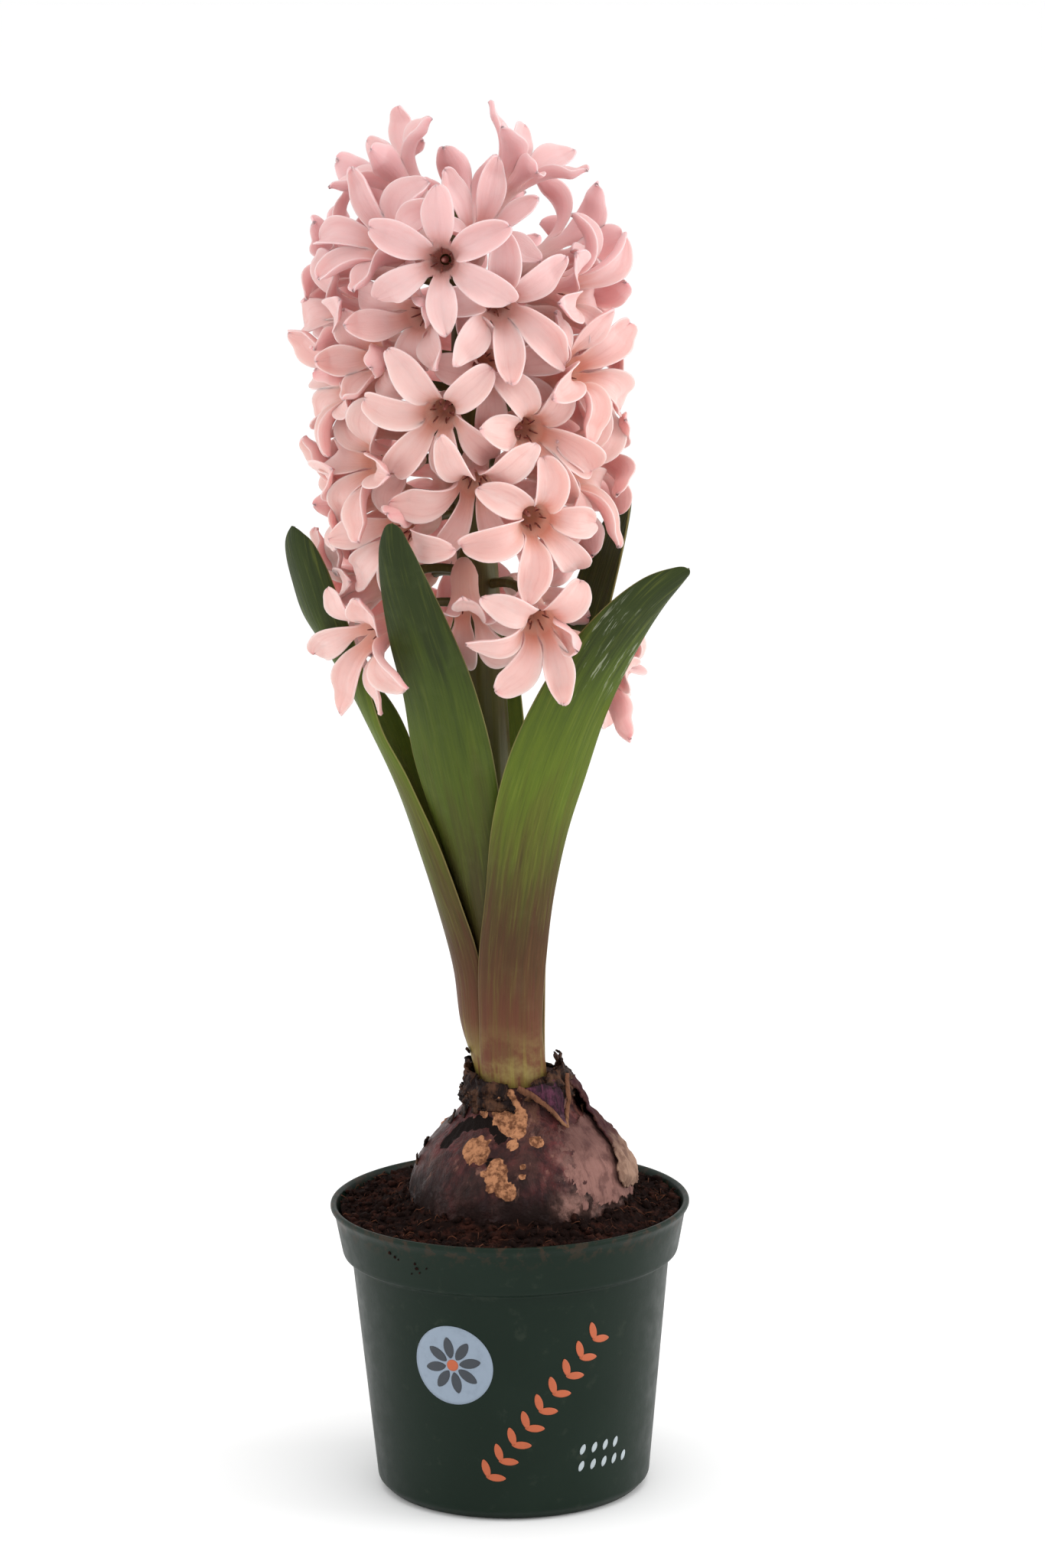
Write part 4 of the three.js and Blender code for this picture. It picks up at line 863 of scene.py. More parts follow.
LEFT_COLLAR = dict(
    left=[(150, 100.8, 0.5), (150, 103.4, 0.6), (151, 106.4, 0.4), (152, 109.6, 0.2)],
    right=[(262, 100.6, 0.5), (262, 102.2, 0.6), (261, 103.8, 0.2), (259, 105.6, -0.8)],
    belly=0.3, torn=1.3, crumple=1.0, seed=36,
)
LEFT_FRILL = dict(
    left=[(156, 99.6, 0.5), (157, 101.2, 1.0), (158, 103.0, 1.2)],
    right=[(268, 99.4, 0.4), (268, 101.0, 1.0), (266, 102.6, 1.0)],
    belly=0.2, torn=1.2, crumple=0.95, seed=44,
)
BACK_FRILL = dict(
    left=[(20, 100.4, 0.3), (20, 102.6, 0.6), (22, 105.4, 0.1)],
    right=[(160, 100.6, 0.3), (160, 103.2, 0.6), (160, 107.0, 0.1)],
    belly=0.2, torn=1.3, crumple=0.6, seed=49,
)
# Loose flakes: azimuth, height, width and how far they stand out.
FLAKES = [
    (186, 95.2, 3.2, 1.6), (178, 88.2, 2.4, 1.3), (183, 84.4, 3.0, 1.5), (-2, 85.0, 2.0, 1.4),
    (2, 96.4, 2.2, 1.5), (-170, 112.4, 1.6, 0.8), (200, 98.0, 3.6, 1.2), (96, 92.0, 4.0, 1.4),
    (60, 84.0, 4.4, 1.3), (132, 97.0, 3.4, 1.2), (-140, 99.0, 2.4, 0.9), (-128, 100.2, 2.6, 0.9),
    (-112, 101.4, 2.4, 0.8),
]


def skin_spot(azimuth, height, lift):
    """A spot over the bulb's skin, also over the neck above it, in millimetres."""
    spot = bulb_spot(azimuth, min(height, NECK_TOP), lift)
    if height > NECK_TOP:
        spot.z = height
        return spot
    out = off_axis(spot).normalized()
    return spot + out * bulb_bumps(spot) * smooth((NECK_TOP - height) / NECK_BLEND)


def edge_spot(stations, share):
    """The place on a side edge of a sheet at a share of its stations."""
    rows = [list(enumerate(column)) for column in zip(*stations)]
    return Vector([along_table(row, share * (len(stations) - 1)) for row in rows])


def skin_sheet(work, left, right, belly, torn, crumple, seed, columns=40, rows=34):
    """A torn and crumpled sheet over the bulb, between two side edges, grown from a grid."""
    flow = work.verts.layers.float_vector.get("flow") or work.verts.layers.float_vector.new("flow")
    grid = bmesh.ops.create_grid(work, x_segments=columns, y_segments=rows, size=1)
    for vert in grid["verts"]:
        u, v = (vert.co.x + 1) / 2, (vert.co.y + 1) / 2
        start = edge_spot(left, v)
        end = edge_spot(right, v)
        rim = max(abs(vert.co.x) ** 10, abs(vert.co.y) ** 10)
        azimuth, height, lift = start.lerp(end, u)
        lift += belly * 4 * u * (1 - u)
        spot = skin_spot(azimuth, height, lift)
        vert[flow] = (spot.z, azimuth * 0.4, seed)
        jagged = noise.fractal(spot * 0.55 + Vector((seed, 0, 0)), 0.6, 2.1, 4)
        pull = rim * torn * (0.5 + jagged)
        middle = skin_spot(*start.lerp(end, 0.5))
        middle.z = (edge_spot(left, 0.5).y + edge_spot(right, 0.5).y) / 2
        out = off_axis(spot).normalized()
        spot += (middle - spot).normalized() * pull
        spot += out * crumple * (1.4 * noise.noise(spot * 0.42 + Vector((0, seed, 0))) + rim * 0.5)
        spot += noise.noise_vector(spot * 0.9) * crumple * 0.35
        vert.co = spot * MM


def keep_sheet(name, work, made, nodes=()):
    """Finishes a sheet: turned to face outwards, then given its thickness."""
    face_outwards(work, Vector((BULB_X * MM, 0, 0)))
    piece = keep(name, work, [made])
    wall = piece.modifiers.new("wall", "SOLIDIFY")
    wall.thickness = SHEET_THICKNESS * MM
    wall.offset = 0
    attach(piece, "root")
    if nodes:
        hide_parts(*nodes)


# Streaks: fine lines that run along a piece, for veins, fibres and ribs.
streaks, streaks_in, streaks_out = shader_group(
    "streaks",
    [("Vector", "Vector"), ("Scale", "Float"), ("Stretch", "Float")],
    [("Height", "Float")],
)
apart = add_node(streaks, "SeparateXYZ", {0: streaks_in.outputs["Vector"]})
slowed = maths(streaks, "DIVIDE", apart.outputs["X"], streaks_in.outputs["Stretch"])
joined = add_node(
    streaks, "CombineXYZ", {0: slowed, 1: apart.outputs["Y"], 2: apart.outputs["Z"]}
)
lines = add_node(
    streaks, "TexNoise",
    {"Vector": joined.outputs[0], "Scale": streaks_in.outputs["Scale"], "Detail": 5.0, "Roughness": 0.6},
)
streaks.links.new(lines.outputs[0], streaks_out.inputs["Height"])


def streaked(tree, vector, scale, stretch):
    """The streaks group in a material; its vector runs along X, across Y and by seed Z."""
    node = add_node(tree, "Group", node_tree=streaks)
    tree.links.new(vector, node.inputs["Vector"])
    node.inputs["Scale"].default_value = scale
    node.inputs["Stretch"].default_value = stretch
    return node.outputs["Height"]


def ramp(tree, value, stops):
    """A colour by a value, from (value, colour) stops."""
    node = add_node(tree, "ValToRGB", {0: value})
    marks = node.color_ramp.elements
    for k, (at, colour) in enumerate(stops):
        if k > 1:
            marks.new(at)
        marks[k].position = at
        marks[k].color = colour
    return node.outputs[0]


def dry_skin(name, low_colour, high_colour, change, fleck_and_highlight, roughness=0.7):
    """Dry tunic: one colour below, another above a height, flecked and finely ribbed."""
    made, tree, shader = finish(name, low_colour, Roughness=roughness, Specular_IOR_Level=0.1)
    place = own_place(tree)
    ribs = streaked(tree, attribute(tree, "flow").outputs["Vector"], 1.1, 9.0)
    patch, patch_height = mottled(tree, place, 260, 0.46, 0.62)
    height = height_of(tree, place)
    wander = maths(tree, "MULTIPLY", patch_height, 0.012)
    high = step_up(tree, maths(tree, "ADD", height, wander), (change - 2) * MM, (change + 5) * MM)
    tone = blend_colours(tree, high, low_colour, high_colour)
    # The fleck goes on the raised patches and the rib crests; where it is lighter than the tunic it is a
    # painted highlight.
    tone = tinted(tree, tone, patch, 0.5, fleck_and_highlight)
    tone = tinted(tree, tone, step_up(tree, ribs, 0.5, 0.75), 0.6, fleck_and_highlight)
    tree.links.new(tone, shader.inputs["Base Color"])
    relief = maths(tree, "ADD", ribs, maths(tree, "MULTIPLY", patch_height, 0.6))
    bump(tree, shader, relief, 0.7)
    return made


paper_finish = dry_skin("paper_tunic", paint(138, 100, 92), paint(108, 76, 70), 92, paint(66, 38, 38))
flap_finish = dry_skin("flap_tunic", paint(150, 120, 102), paint(58, 27, 32), 93, paint(88, 58, 48))
purple_finish = dry_skin("purple_tunic", paint(190, 138, 150), paint(44, 24, 34), 99, paint(112, 58, 82), 0.5)
cork_finish = dry_skin("tan_tunic", paint(150, 108, 80), paint(112, 74, 54), 101, paint(52, 32, 24))
# The dark tunic's lighter fleck, on its crumpled crests, is a painted highlight.
dark_finish = dry_skin("dark_tunic", paint(22, 13, 12), paint(28, 17, 16), 104, paint(104, 70, 50), 0.55)

paper_work = bmesh.new()
skin_sheet(paper_work, columns=90, rows=60, **PAPER_TUNIC)
slit_foot = skin_spot(*SLIT_FOOT)
slit = [vert for vert in paper_work.verts if (vert.co / MM - slit_foot).length < SLIT_REACH]
bmesh.ops.delete(paper_work, geom=slit, context="VERTS")
keep_sheet("paper_tunic", paper_work, paper_finish)

flap_work = bmesh.new()
skin_sheet(flap_work, columns=70, rows=80, **OUTER_FLAP)
keep_sheet("outer_flap", flap_work, flap_finish, ["tunic_right"])

purple_work = bmesh.new()
skin_sheet(purple_work, columns=60, **PURPLE_SCALE)
keep_sheet("purple_scale", purple_work, purple_finish)

strips_work = bmesh.new()
for strip in (SCALE_RIDGE, CURLED_STRIP):
    skin_sheet(strips_work, columns=14, rows=60, **strip)
keep_sheet("tan_strips", strips_work, cork_finish)

right_work = bmesh.new()
skin_sheet(right_work, columns=90, rows=26, **RIGHT_COLLAR)
skin_sheet(right_work, columns=70, rows=22, **RIGHT_CURL)
keep_sheet("right_collar", right_work, dark_finish, ["neck_scale_right"])

left_work = bmesh.new()
skin_sheet(left_work, columns=110, rows=30, **LEFT_COLLAR)
skin_sheet(left_work, columns=110, rows=16, **LEFT_FRILL)
skin_sheet(left_work, columns=110, rows=20, **BACK_FRILL)
keep_sheet("left_collar", left_work, dark_finish, ["neck_scale_left"])

flakes_work = bmesh.new()
for k, (azimuth, height, width, stand) in enumerate(FLAKES):
    turn = math.degrees(width / 2 / along_table(BULB_SIDE, min(height, NECK_TOP)))
    skin_sheet(
        flakes_work, columns=10, rows=10, belly=0, torn=0.7, crumple=0.2, seed=60 + k,
        left=[(azimuth - turn, height - width / 2, -0.1), (azimuth - turn, height + width / 2, stand * 0.6)],
        right=[(azimuth + turn, height - width / 2, -0.1), (azimuth + turn, height + width / 2, stand)],
    )
keep_sheet("loose_flakes", flakes_work, dark_finish)


# Leaves: five thick, strap-shaped blades that sheathe the stem and then arch away. They are
# satin green, rusty at the foot, with a pale margin and a short rounded tip.
LEAF_FOOT = 94
LEAF_THICKNESS = 1.8
LEAF_EDGE_THICKNESS = 0.8
LEAF_THINS_BELOW = 8
LEAF_TIP_SHARE = 0.55
LEAF_ROWS = 120
LEAF_COLUMNS = 22
LEAF_ROUND_END = 0.03
LEAF_KEEL_REACH = 0.15
LEAF_WAVE = 0.3
LEAF_RIB, LEAF_RIB_WIDTH = 0.10, 0.07
# Each station: height, keel x and y, width, the way it faces and half the arc of its trough.
LEAVES = {
    "leaf_front_right": [
        (LEAF_FOOT, 1.9, -9.8, 19.0, 266, 56),
        (106, 1.1, -10.0, 20.2, 265, 57),
        (118, 0.8, -10.0, 17.8, 268, 41),
        (135, 1.4, -11.0, 18.5, 270, 39),
        (152, 3.6, -13.2, 18.8, 274, 40),
        (170, 6.6, -16.4, 20.6, 280, 33),
        (186, 11.1, -19.6, 21.6, 285, 28),
        (200, 16.4, -22.4, 20.4, 290, 26),
        (212, 22.4, -25.0, 18.4, 293, 26),
        (223, 29.6, -27.8, 15.2, 296, 28),
        (231.5, 36.8, -30.6, 11.0, 298, 32),
        (236.5, 42.8, -32.8, 5.6, 299, 36),
        (238.2, 45.4, -33.8, 1.8, 299, 36),
    ],
    "leaf_front_left": [
        (LEAF_FOOT, -2.9, -5.4, 13.6, 225, 60),
        (106, -3.4, -5.5, 13.6, 225, 58),
        (120, -4.3, -5.4, 13.6, 227, 53),
        (137, -5.2, -5.8, 14.6, 231, 56),
        (155, -7.4, -8.4, 16.8, 240, 36),
        (172, -9.9, -11.6, 19.6, 250, 30),
        (190, -13.0, -17.6, 21.2, 254, 26),
        (207, -16.0, -25.0, 19.4, 254, 26),
        (222, -20.0, -31.8, 17.0, 254, 28),
        (235, -23.4, -36.8, 13.4, 254, 32),
        (244, -25.2, -39.6, 9.6, 254, 36),
        (249.6, -25.6, -41.0, 5.4, 255, 38),
        (251.8, -25.6, -41.4, 1.8, 255, 38),
    ],
    "leaf_left": [
        (LEAF_FOOT, -6.5, 3.9, 16.0, 157, 48),
        (106, -7.2, 4.0, 16.0, 157, 48),
        (118, -11.4, 1.3, 20.7, 179, 82),
        (133, -13.2, 0.3, 21.4, 184, 86),
        (148, -16.8, 0.0, 21.6, 180, 83),
        (163, -21.1, -0.6, 21.4, 177, 77),
        (178, -25.8, -0.7, 20.2, 172, 68),
        (193, -31.8, -0.9, 19.8, 169, 66),
        (208, -39.2, -5.1, 17.8, 197, 58),
        (222, -44.9, -6.6, 16.2, 222, 43),
        (233, -48.4, -5.6, 14.6, 226, 41),
        (241, -50.4, -4.6, 10.0, 229, 38),
        (245.4, -50.7, -3.8, 1.8, 230, 36),
    ],
    "leaf_right": [
        (LEAF_FOOT, 7.4, 5.6, 12.6, 48, 48),
        (106, 6.9, 6.0, 12.6, 48, 46),
        (120, 6.9, 7.2, 12.8, 46, 43),
        (137, 7.6, 9.0, 13.8, 44, 40),
        (155, 9.4, 11.4, 15.4, 42, 34),
        (172, 12.0, 14.2, 17.2, 40, 30),
        (190, 15.6, 17.2, 18.6, 38, 27),
        (206, 19.6, 19.8, 18.8, 36, 25),
        (220, 23.6, 21.8, 17.6, 35, 25),
        (232, 27.4, 23.4, 14.4, 34, 28),
        (241, 30.4, 24.4, 9.8, 34, 32),
        (246.2, 32.0, 24.8, 5.4, 34, 36),
        (248.4, 32.4, 25.0, 1.8, 34, 36),
    ],
    "leaf_back": [
        (LEAF_FOOT, 5.2, 9.7, 12.0, 74, 36),
        (106, 4.4, 10.1, 12.0, 76, 36),
        (120, 3.2, 11.6, 12.6, 80, 36),
        (137, 2.0, 14.0, 13.8, 82, 34),
        (155, 0.2, 18.0, 15.4, 86, 31),
        (172, -1.6, 22.4, 17.2, 90, 28),
        (189, -3.4, 27.6, 18.4, 92, 26),
        (204, -5.0, 32.8, 18.0, 94, 26),
        (217, -6.4, 37.8, 15.8, 95, 28),
        (228, -7.6, 42.2, 12.4, 96, 32),
        (235.6, -8.4, 45.2, 7.6, 96, 36),
        (239.2, -8.8, 46.6, 1.8, 96, 36),
    ],
}
# Painted shade: how far each leaf's colour is darkened towards deep green, for the leaves that stand behind
# others.
LEAF_PAINTED_SHADE = {
    "leaf_front_right": 0.0, "leaf_front_left": 0.42, "leaf_left": 0.0, "leaf_right": 0.25, "leaf_back": 0.2,
}
SCUFFED_LEAF = "leaf_front_right"
SCUFF_PLACE = Vector((26, -27, 218))
SCUFF_REACH = 14


def leaf_blade(name, stations, made, seed):
    """One blade: a grid folded round the trough's section and drawn along the keel."""
    columns = [list(enumerate(column)) for column in zip(*stations)]
    last = len(stations) - 1

    def keel(at):
        z, x, y = (along_table(column, at) for column in columns[:3])
        return Vector((x, y, z))

    work = bmesh.new()
    bmesh.ops.create_grid(work, x_segments=2 * LEAF_COLUMNS, y_segments=LEAF_ROWS, size=1)
    flow = work.verts.layers.float_vector.new("flow")
    across_layer = work.verts.layers.float.new("across")
    painted_shade_layer = work.verts.layers.float.new("painted_shade")
    scuff_layer = work.verts.layers.float.new("scuff")
    frames = {}
    for vert in work.verts:
        lap, row = vert.co.x, round((vert.co.y + 1) / 2 * LEAF_ROWS)
        if row not in frames:
            share = 1 - (1 - row / LEAF_ROWS) ** 1.25
            at = share * last
            ahead = keel(min(last, at + LEAF_KEEL_REACH)) - keel(max(0, at - LEAF_KEEL_REACH))
            ahead.normalize()
            facing = math.radians(along_table(columns[4], at))
            outward = Vector((math.cos(facing), math.sin(facing), 0))
            side = ahead.cross(outward).normalized()
            width = along_table(columns[3], at)
            close = max(0, (share - 1 + LEAF_ROUND_END) / LEAF_ROUND_END)
            width *= math.sqrt(max(0, 1 - close * close))
            arc = math.radians(along_table(columns[5], at))
            frames[row] = (keel(at), side, side.cross(ahead).normalized(), width, arc)
        spot, side, normal, width, arc = frames[row]
        inner = lap > 0
        sweep = (1 - 2 * lap) if inner else (2 * lap + 1)
        across = math.sin(math.pi / 2 * sweep)
        fall = (LEAF_THICKNESS - LEAF_EDGE_THICKNESS) * across * across
        narrow = min(1, width / LEAF_THINS_BELOW)
        whole = (LEAF_THICKNESS - fall) * (LEAF_TIP_SHARE + (1 - LEAF_TIP_SHARE) * narrow)
        whole *= min(1, width / 1.2)
        body = whole * math.sqrt(max(0, 1 - abs(across) ** 14))
        depth = (whole + body) / 2 if inner else (whole - body) / 2
        radius = width / (2 * arc)
        sway = noise.noise(Vector((spot.z * 0.045, across * 2, seed)))
        wave = LEAF_WAVE * across * across * sway
        reach = radius - depth + wave
        turn = arc * across
        rib = LEAF_RIB * math.exp(-((across / LEAF_RIB_WIDTH) ** 2)) * (-1 if inner else 0.4)
        rise = normal * ((reach + rib) * math.cos(turn) - radius)
        vert.co = (spot + side * reach * math.sin(turn) + rise) * MM
        vert[flow] = (spot.z, across * width / 2, seed * 7.3)
        vert[across_layer] = across
        vert[painted_shade_layer] = LEAF_PAINTED_SHADE[name]
        near = (vert.co / MM - SCUFF_PLACE).length / SCUFF_REACH
        vert[scuff_layer] = smooth(1.4 - near) if name == SCUFFED_LEAF else 0
    bmesh.ops.remove_doubles(work, verts=work.verts, dist=2e-6)
    open_edges = [edge for edge in work.edges if edge.is_boundary]
    bmesh.ops.holes_fill(work, edges=open_edges)
    bmesh.ops.recalc_face_normals(work, faces=work.faces)
    piece = keep(name.replace("leaf", "blade"), work, [made])
    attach(piece, "root")
    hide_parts(name)


LEAF_COLOURS = [
    (97, paint(140, 130, 58)), (104, paint(122, 98, 52)), (114, paint(100, 66, 42)), (138, paint(76, 52, 32)),
    (156, paint(78, 70, 32)), (172, paint(86, 92, 32)), (188, paint(88, 104, 30)), (206, paint(74, 90, 29)),
    (224, paint(50, 61, 24)), (246, paint(42, 52, 23)),
]
LEAF_LOW, LEAF_HIGH = 94, 256
leaf_finish, tree, shader = finish(
    "leaf_skin", paint(78, 92, 42), Roughness=0.48, IOR=1.38, Specular_IOR_Level=0.22
)
place = own_place(tree)
flow = attribute(tree, "flow").outputs["Vector"]
fine = streaked(tree, flow, 1.7, 26.0)
broad = streaked(tree, flow, 0.42, 14.0)
height = height_of(tree, place)
wander = add_node(tree, "MapRange", {0: broad, 1: 0.25, 2: 0.75, 3: -0.016, 4: 0.016}).outputs[0]
share = add_node(
    tree, "MapRange", {0: maths(tree, "ADD", height, wander), 1: LEAF_LOW * MM, 2: LEAF_HIGH * MM}
).outputs[0]
stops = [((z - LEAF_LOW) / (LEAF_HIGH - LEAF_LOW), colour) for z, colour in LEAF_COLOURS]
tone = ramp(tree, share, stops)
above_foot = add_node(tree, "MapRange", {0: height, 1: 0.115, 2: 0.165, 3: 0.1, 4: 0.2}).outputs[0]
light_line = maths(tree, "MULTIPLY", step_up(tree, fine, 0.52, 0.7), above_foot)
dark_line = maths(tree, "MULTIPLY", step_up(tree, fine, 0.48, 0.3), 0.28)
tone = blend_colours(tree, light_line, tone, paint(130, 136, 56))
tone = blend_colours(tree, dark_line, tone, paint(40, 44, 20))
# Painted shade: leaves standing behind others are darkened towards deep green by their share.
painted_shade = attribute(tree, "painted_shade").outputs["Fac"]
tone = blend_colours(tree, painted_shade, tone, paint(38, 48, 18))
rusty = maths(
    tree, "MULTIPLY", step_up(tree, height, 150 * MM, 116 * MM), step_up(tree, broad, 0.46, 0.62)
)
tone = tinted(tree, tone, rusty, 0.42, paint(112, 58, 48))
pale_foot = maths(
    tree, "MULTIPLY", step_up(tree, height, 124 * MM, 104 * MM), mottled(tree, place, 130, 0.4, 0.62)[0]
)
tone = tinted(tree, tone, pale_foot, 0.6, paint(152, 140, 84))
across = attribute(tree, "across").outputs["Fac"]
margin = step_up(tree, maths(tree, "ABSOLUTE", across), 0.955, 1.0)
tone = tinted(tree, tone, margin, 0.5, paint(160, 144, 92))
dusting, dust_height = mottled(tree, place, 95, 0.5, 0.72)
tone = tinted(tree, tone, dusting, 0.06, paint(128, 138, 96))
scratches = maths(
    tree, "MULTIPLY", attribute(tree, "scuff").outputs["Fac"],
    step_up(tree, streaked(tree, flow, 1.3, 9.0), 0.57, 0.64),
)
tone = tinted(tree, tone, scratches, 0.4, paint(186, 190, 168))
tree.links.new(tone, shader.inputs["Base Color"])
roughen(tree, shader, dust_height, 0.3, 0.7, 0.4, 0.56)
bump(tree, shader, maths(tree, "ADD", fine, maths(tree, "MULTIPLY", broad, 0.8)), 0.16)

for number, (name, stations) in enumerate(LEAVES.items()):
    leaf_blade(name, stations, leaf_finish, number + 1)


# Flower stem: one thick, juicy stalk from the bulb's heart to the top of the head, with a
# short arching stalk to the foot of every flower.
STEM_START_X = 2.53
STEM_SLOPE = -0.0752
STEM_BEND = 0.0001225
STEM_TIP = 326
STEM_TIP_SHARE = 0.45
STEM_WIDTHS = [(93.8, 5.1), (150, 5.2), (210, 5.2), (255, 4.6), (290, 3.6), (315, 2.6), (326, 1.6)]
STEM_FOOT = STEM_WIDTHS[0][0]
STEM_SIDES = 32
STEM_STEP = 2.5
STEM_RIBS, STEM_RIB_DEPTH = 11, 0.09
FLORET_COUNT = 44
TUBE_LENGTH = 12
CROWN_FROM = 315
CROWN_SIZE = 0.9
# Florets placed one by one, all but the last after the photograph: height, azimuth and distance
# of the throat from the stem, the azimuth and elevation that it faces, and its turn.
FRONT_FLORETS = [
    (313, 261, 30, 266, 6, 30),
    (302, 287, 28, 282, -2, 35),
    (299.5, 247, 25.5, 242, -4, 20),
    (287, 282, 23, 294, 2, 10),
    (284, 327, 29, 322, 18, 20),
    (276, 257, 28, 260, -8, 45),
    (271, 300, 28, 293, -4, 45),
    (259.5, 272, 27, 270, -30, 0),
    (250, 298, 31, 287, -6, 12),
    (225, 299, 29, 287, -24, 5),
    (228, 262, 22, 274, -56, 20),
    (221, 214, 30, 222, -20, 45),
    (209, 352, 29, 355, -45, 20),
    (327.5, 182, 12.5, 184, 50, 0),
    (328.5, 352, 12, 344, 54, 30),
    (316, 284, 17, 288, 40, 10),
    (316, 86, 18, 86, 40, 10),
]
HEAD_LOW, HEAD_HIGH, HEAD_SHOULDER = 222, 319, 302
THROAT_CIRCLE, THROAT_CIRCLE_TOP = 26.8, 22
NOD_LOW, NOD_RISE, NOD_SPAN, SHOULDER_RISE = -22, 24, 40, 36
GAP_FROM, GAP_SPAN, GAP_TOP = 304, 108, 258
MIDDLE_ROOM, FOOT_ROOM = 1.25, 1.7
CANDIDATES = 90
SEED = 101
TEPAL_SPACING = 60
PEDICEL_DROP, PEDICEL_NOD, PEDICEL_BELOW_TIP = 3, 5, 3
PEDICEL_WIDTHS = [(0, 1.75), (0.15, 1.3), (0.55, 1.12), (0.85, 1.25), (1, 1.6)]
PEDICEL_RINGS, PEDICEL_SIDES = 9, 10
PEDICEL_OVERLAP, PEDICEL_ARCH = 0.5, 0.45


def stem_point(height):
    h = height - NECK_FLOOR
    return Vector((STEM_START_X + STEM_SLOPE * h + STEM_BEND * h * h, 0, height))


def direction(azimuth, elevation):
    a, e = math.radians(azimuth), math.radians(elevation)
    return Vector((math.cos(e) * math.cos(a), math.cos(e) * math.sin(a), math.sin(e)))


def floret_place(row, size):
    """Where a floret stands: its throat, foot, axis and the two directions of its ring."""
    height, azimuth, radius, face_azimuth, face_elevation, turn = row
    axis = direction(face_azimuth, face_elevation)
    facing = math.radians(face_azimuth)
    across = Vector((-math.sin(facing), math.cos(facing), 0))
    above = axis.cross(across).normalized()
    u = -math.cos(math.radians(turn)) * across - math.sin(math.radians(turn)) * above
    throat = stem_point(height) + direction(azimuth, 0) * radius
    foot = throat - axis * TUBE_LENGTH * size
    return dict(throat=throat, foot=foot, axis=axis, u=u, v=axis.cross(u), size=size)


def room_between(a, b):
    middle_a, middle_b = (a["throat"] + a["foot"]) / 2, (b["throat"] + b["foot"]) / 2
    return min(
        (a["throat"] - b["throat"]).length, MIDDLE_ROOM * (middle_a - middle_b).length,
        FOOT_ROOM * (a["foot"] - b["foot"]).length, FOOT_ROOM * (middle_a - b["foot"]).length,
        FOOT_ROOM * (a["foot"] - middle_b).length,
    )


def floret_places():
    """All the florets: the table's, then each new one where most room is left."""
    seed = SEED

    def chance():
        nonlocal seed
        seed = seed * 16807 % 2147483647
        return seed / 2147483647

    places = [
        floret_place(row, CROWN_SIZE if row[0] > CROWN_FROM else 1) for row in FRONT_FLORETS
    ]
    while len(places) < FLORET_COUNT:
        best = None
        for _ in range(CANDIDATES):
            height = HEAD_LOW + (HEAD_HIGH - HEAD_LOW) * chance()
            azimuth = 360 * chance()
            turn = TEPAL_SPACING * chance()
            if height < GAP_TOP and (azimuth + 360 - GAP_FROM) % 360 < GAP_SPAN:
                continue
            rise = smooth((height - HEAD_SHOULDER) / (HEAD_HIGH - HEAD_SHOULDER))
            radius = THROAT_CIRCLE + (THROAT_CIRCLE_TOP - THROAT_CIRCLE) * rise
            level = NOD_LOW + NOD_RISE * smooth((height - HEAD_LOW) / NOD_SPAN)
            facing_up = level + SHOULDER_RISE * rise
            place = floret_place((height, azimuth, radius, azimuth, facing_up, turn), 1)
            room = min(room_between(place, other) for other in places)
            if best is None or room > best[0]:
                best = (room, place)
        places.append(best[1])
    return places


def stem_ribs(work, centre_of):
    """Presses shallow ribs into the stem's side."""
    for vert in work.verts:
        centre = centre_of(vert.co.z / MM)
        out = Vector((vert.co.x / MM - centre.x, vert.co.y / MM, 0))
        turn = math.atan2(out.y, out.x)
        swing = STEM_RIBS * turn + 2 * noise.noise(vert.co / MM * 0.03)
        vert.co += out.normalized() * STEM_RIB_DEPTH * math.cos(swing) * MM


stem_work = bmesh.new()
steps = int((STEM_TIP - STEM_FOOT) / STEM_STEP) + 1
heights = [STEM_FOOT + k * STEM_STEP for k in range(steps)]
heights += [STEM_TIP - 0.5, STEM_TIP]
stalk = [stem_point(height) * MM for height in heights]
widths = [along_table(STEM_WIDTHS, height) * MM for height in heights]
widths[-1] *= STEM_TIP_SHARE
strand(stem_work, stalk, widths, STEM_SIDES)
stem_ribs(stem_work, stem_point)

florets = floret_places()
for place in florets:
    foot, axis = place["foot"], place["axis"]
    drop = PEDICEL_DROP + PEDICEL_NOD * axis.z
    root = stem_point(min(STEM_TIP - PEDICEL_BELOW_TIP, foot.z - drop))
    end = foot + axis * PEDICEL_OVERLAP
    bend = end - axis * (end - root).length * PEDICEL_ARCH
    spots = []
    for k in range(PEDICEL_RINGS):
        t = k / (PEDICEL_RINGS - 1)
        spots.append(root.lerp(bend, t).lerp(bend.lerp(end, t), t) * MM)
    reach = [k / (PEDICEL_RINGS - 1) for k in range(PEDICEL_RINGS)]
    girths = [along_table(PEDICEL_WIDTHS, t) * place["size"] * MM for t in reach]
    strand(stem_work, spots, girths, PEDICEL_SIDES)
bmesh.ops.recalc_face_normals(stem_work, faces=stem_work.faces)

stem_finish, tree, shader = finish("stem_skin", paint(78, 76, 34), Roughness=0.45, Specular_IOR_Level=0.25)
place = own_place(tree)
apart = add_node(tree, "SeparateXYZ", {0: place})
turned = add_node(tree, "CombineXYZ", {0: apart.outputs["Z"], 1: apart.outputs["X"], 2: apart.outputs["Y"]})
lines = streaked(tree, turned.outputs[0], 900, 24.0)
blush, _ = mottled(tree, place, 70, 0.44, 0.66)
tone = tinted(tree, paint(78, 76, 34), blush, 0.6, paint(72, 54, 32))
tone = tinted(tree, tone, step_up(tree, lines, 0.5, 0.72), 0.3, paint(108, 108, 58))
tone = tinted(tree, tone, step_up(tree, lines, 0.46, 0.28), 0.35, paint(46, 40, 20))
tree.links.new(tone, shader.inputs["Base Color"])
bump(tree, shader, lines, 0.12)
stem_piece = keep("stalk", stem_work, [stem_finish])
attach(stem_piece, "root")
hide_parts("flower_stem")


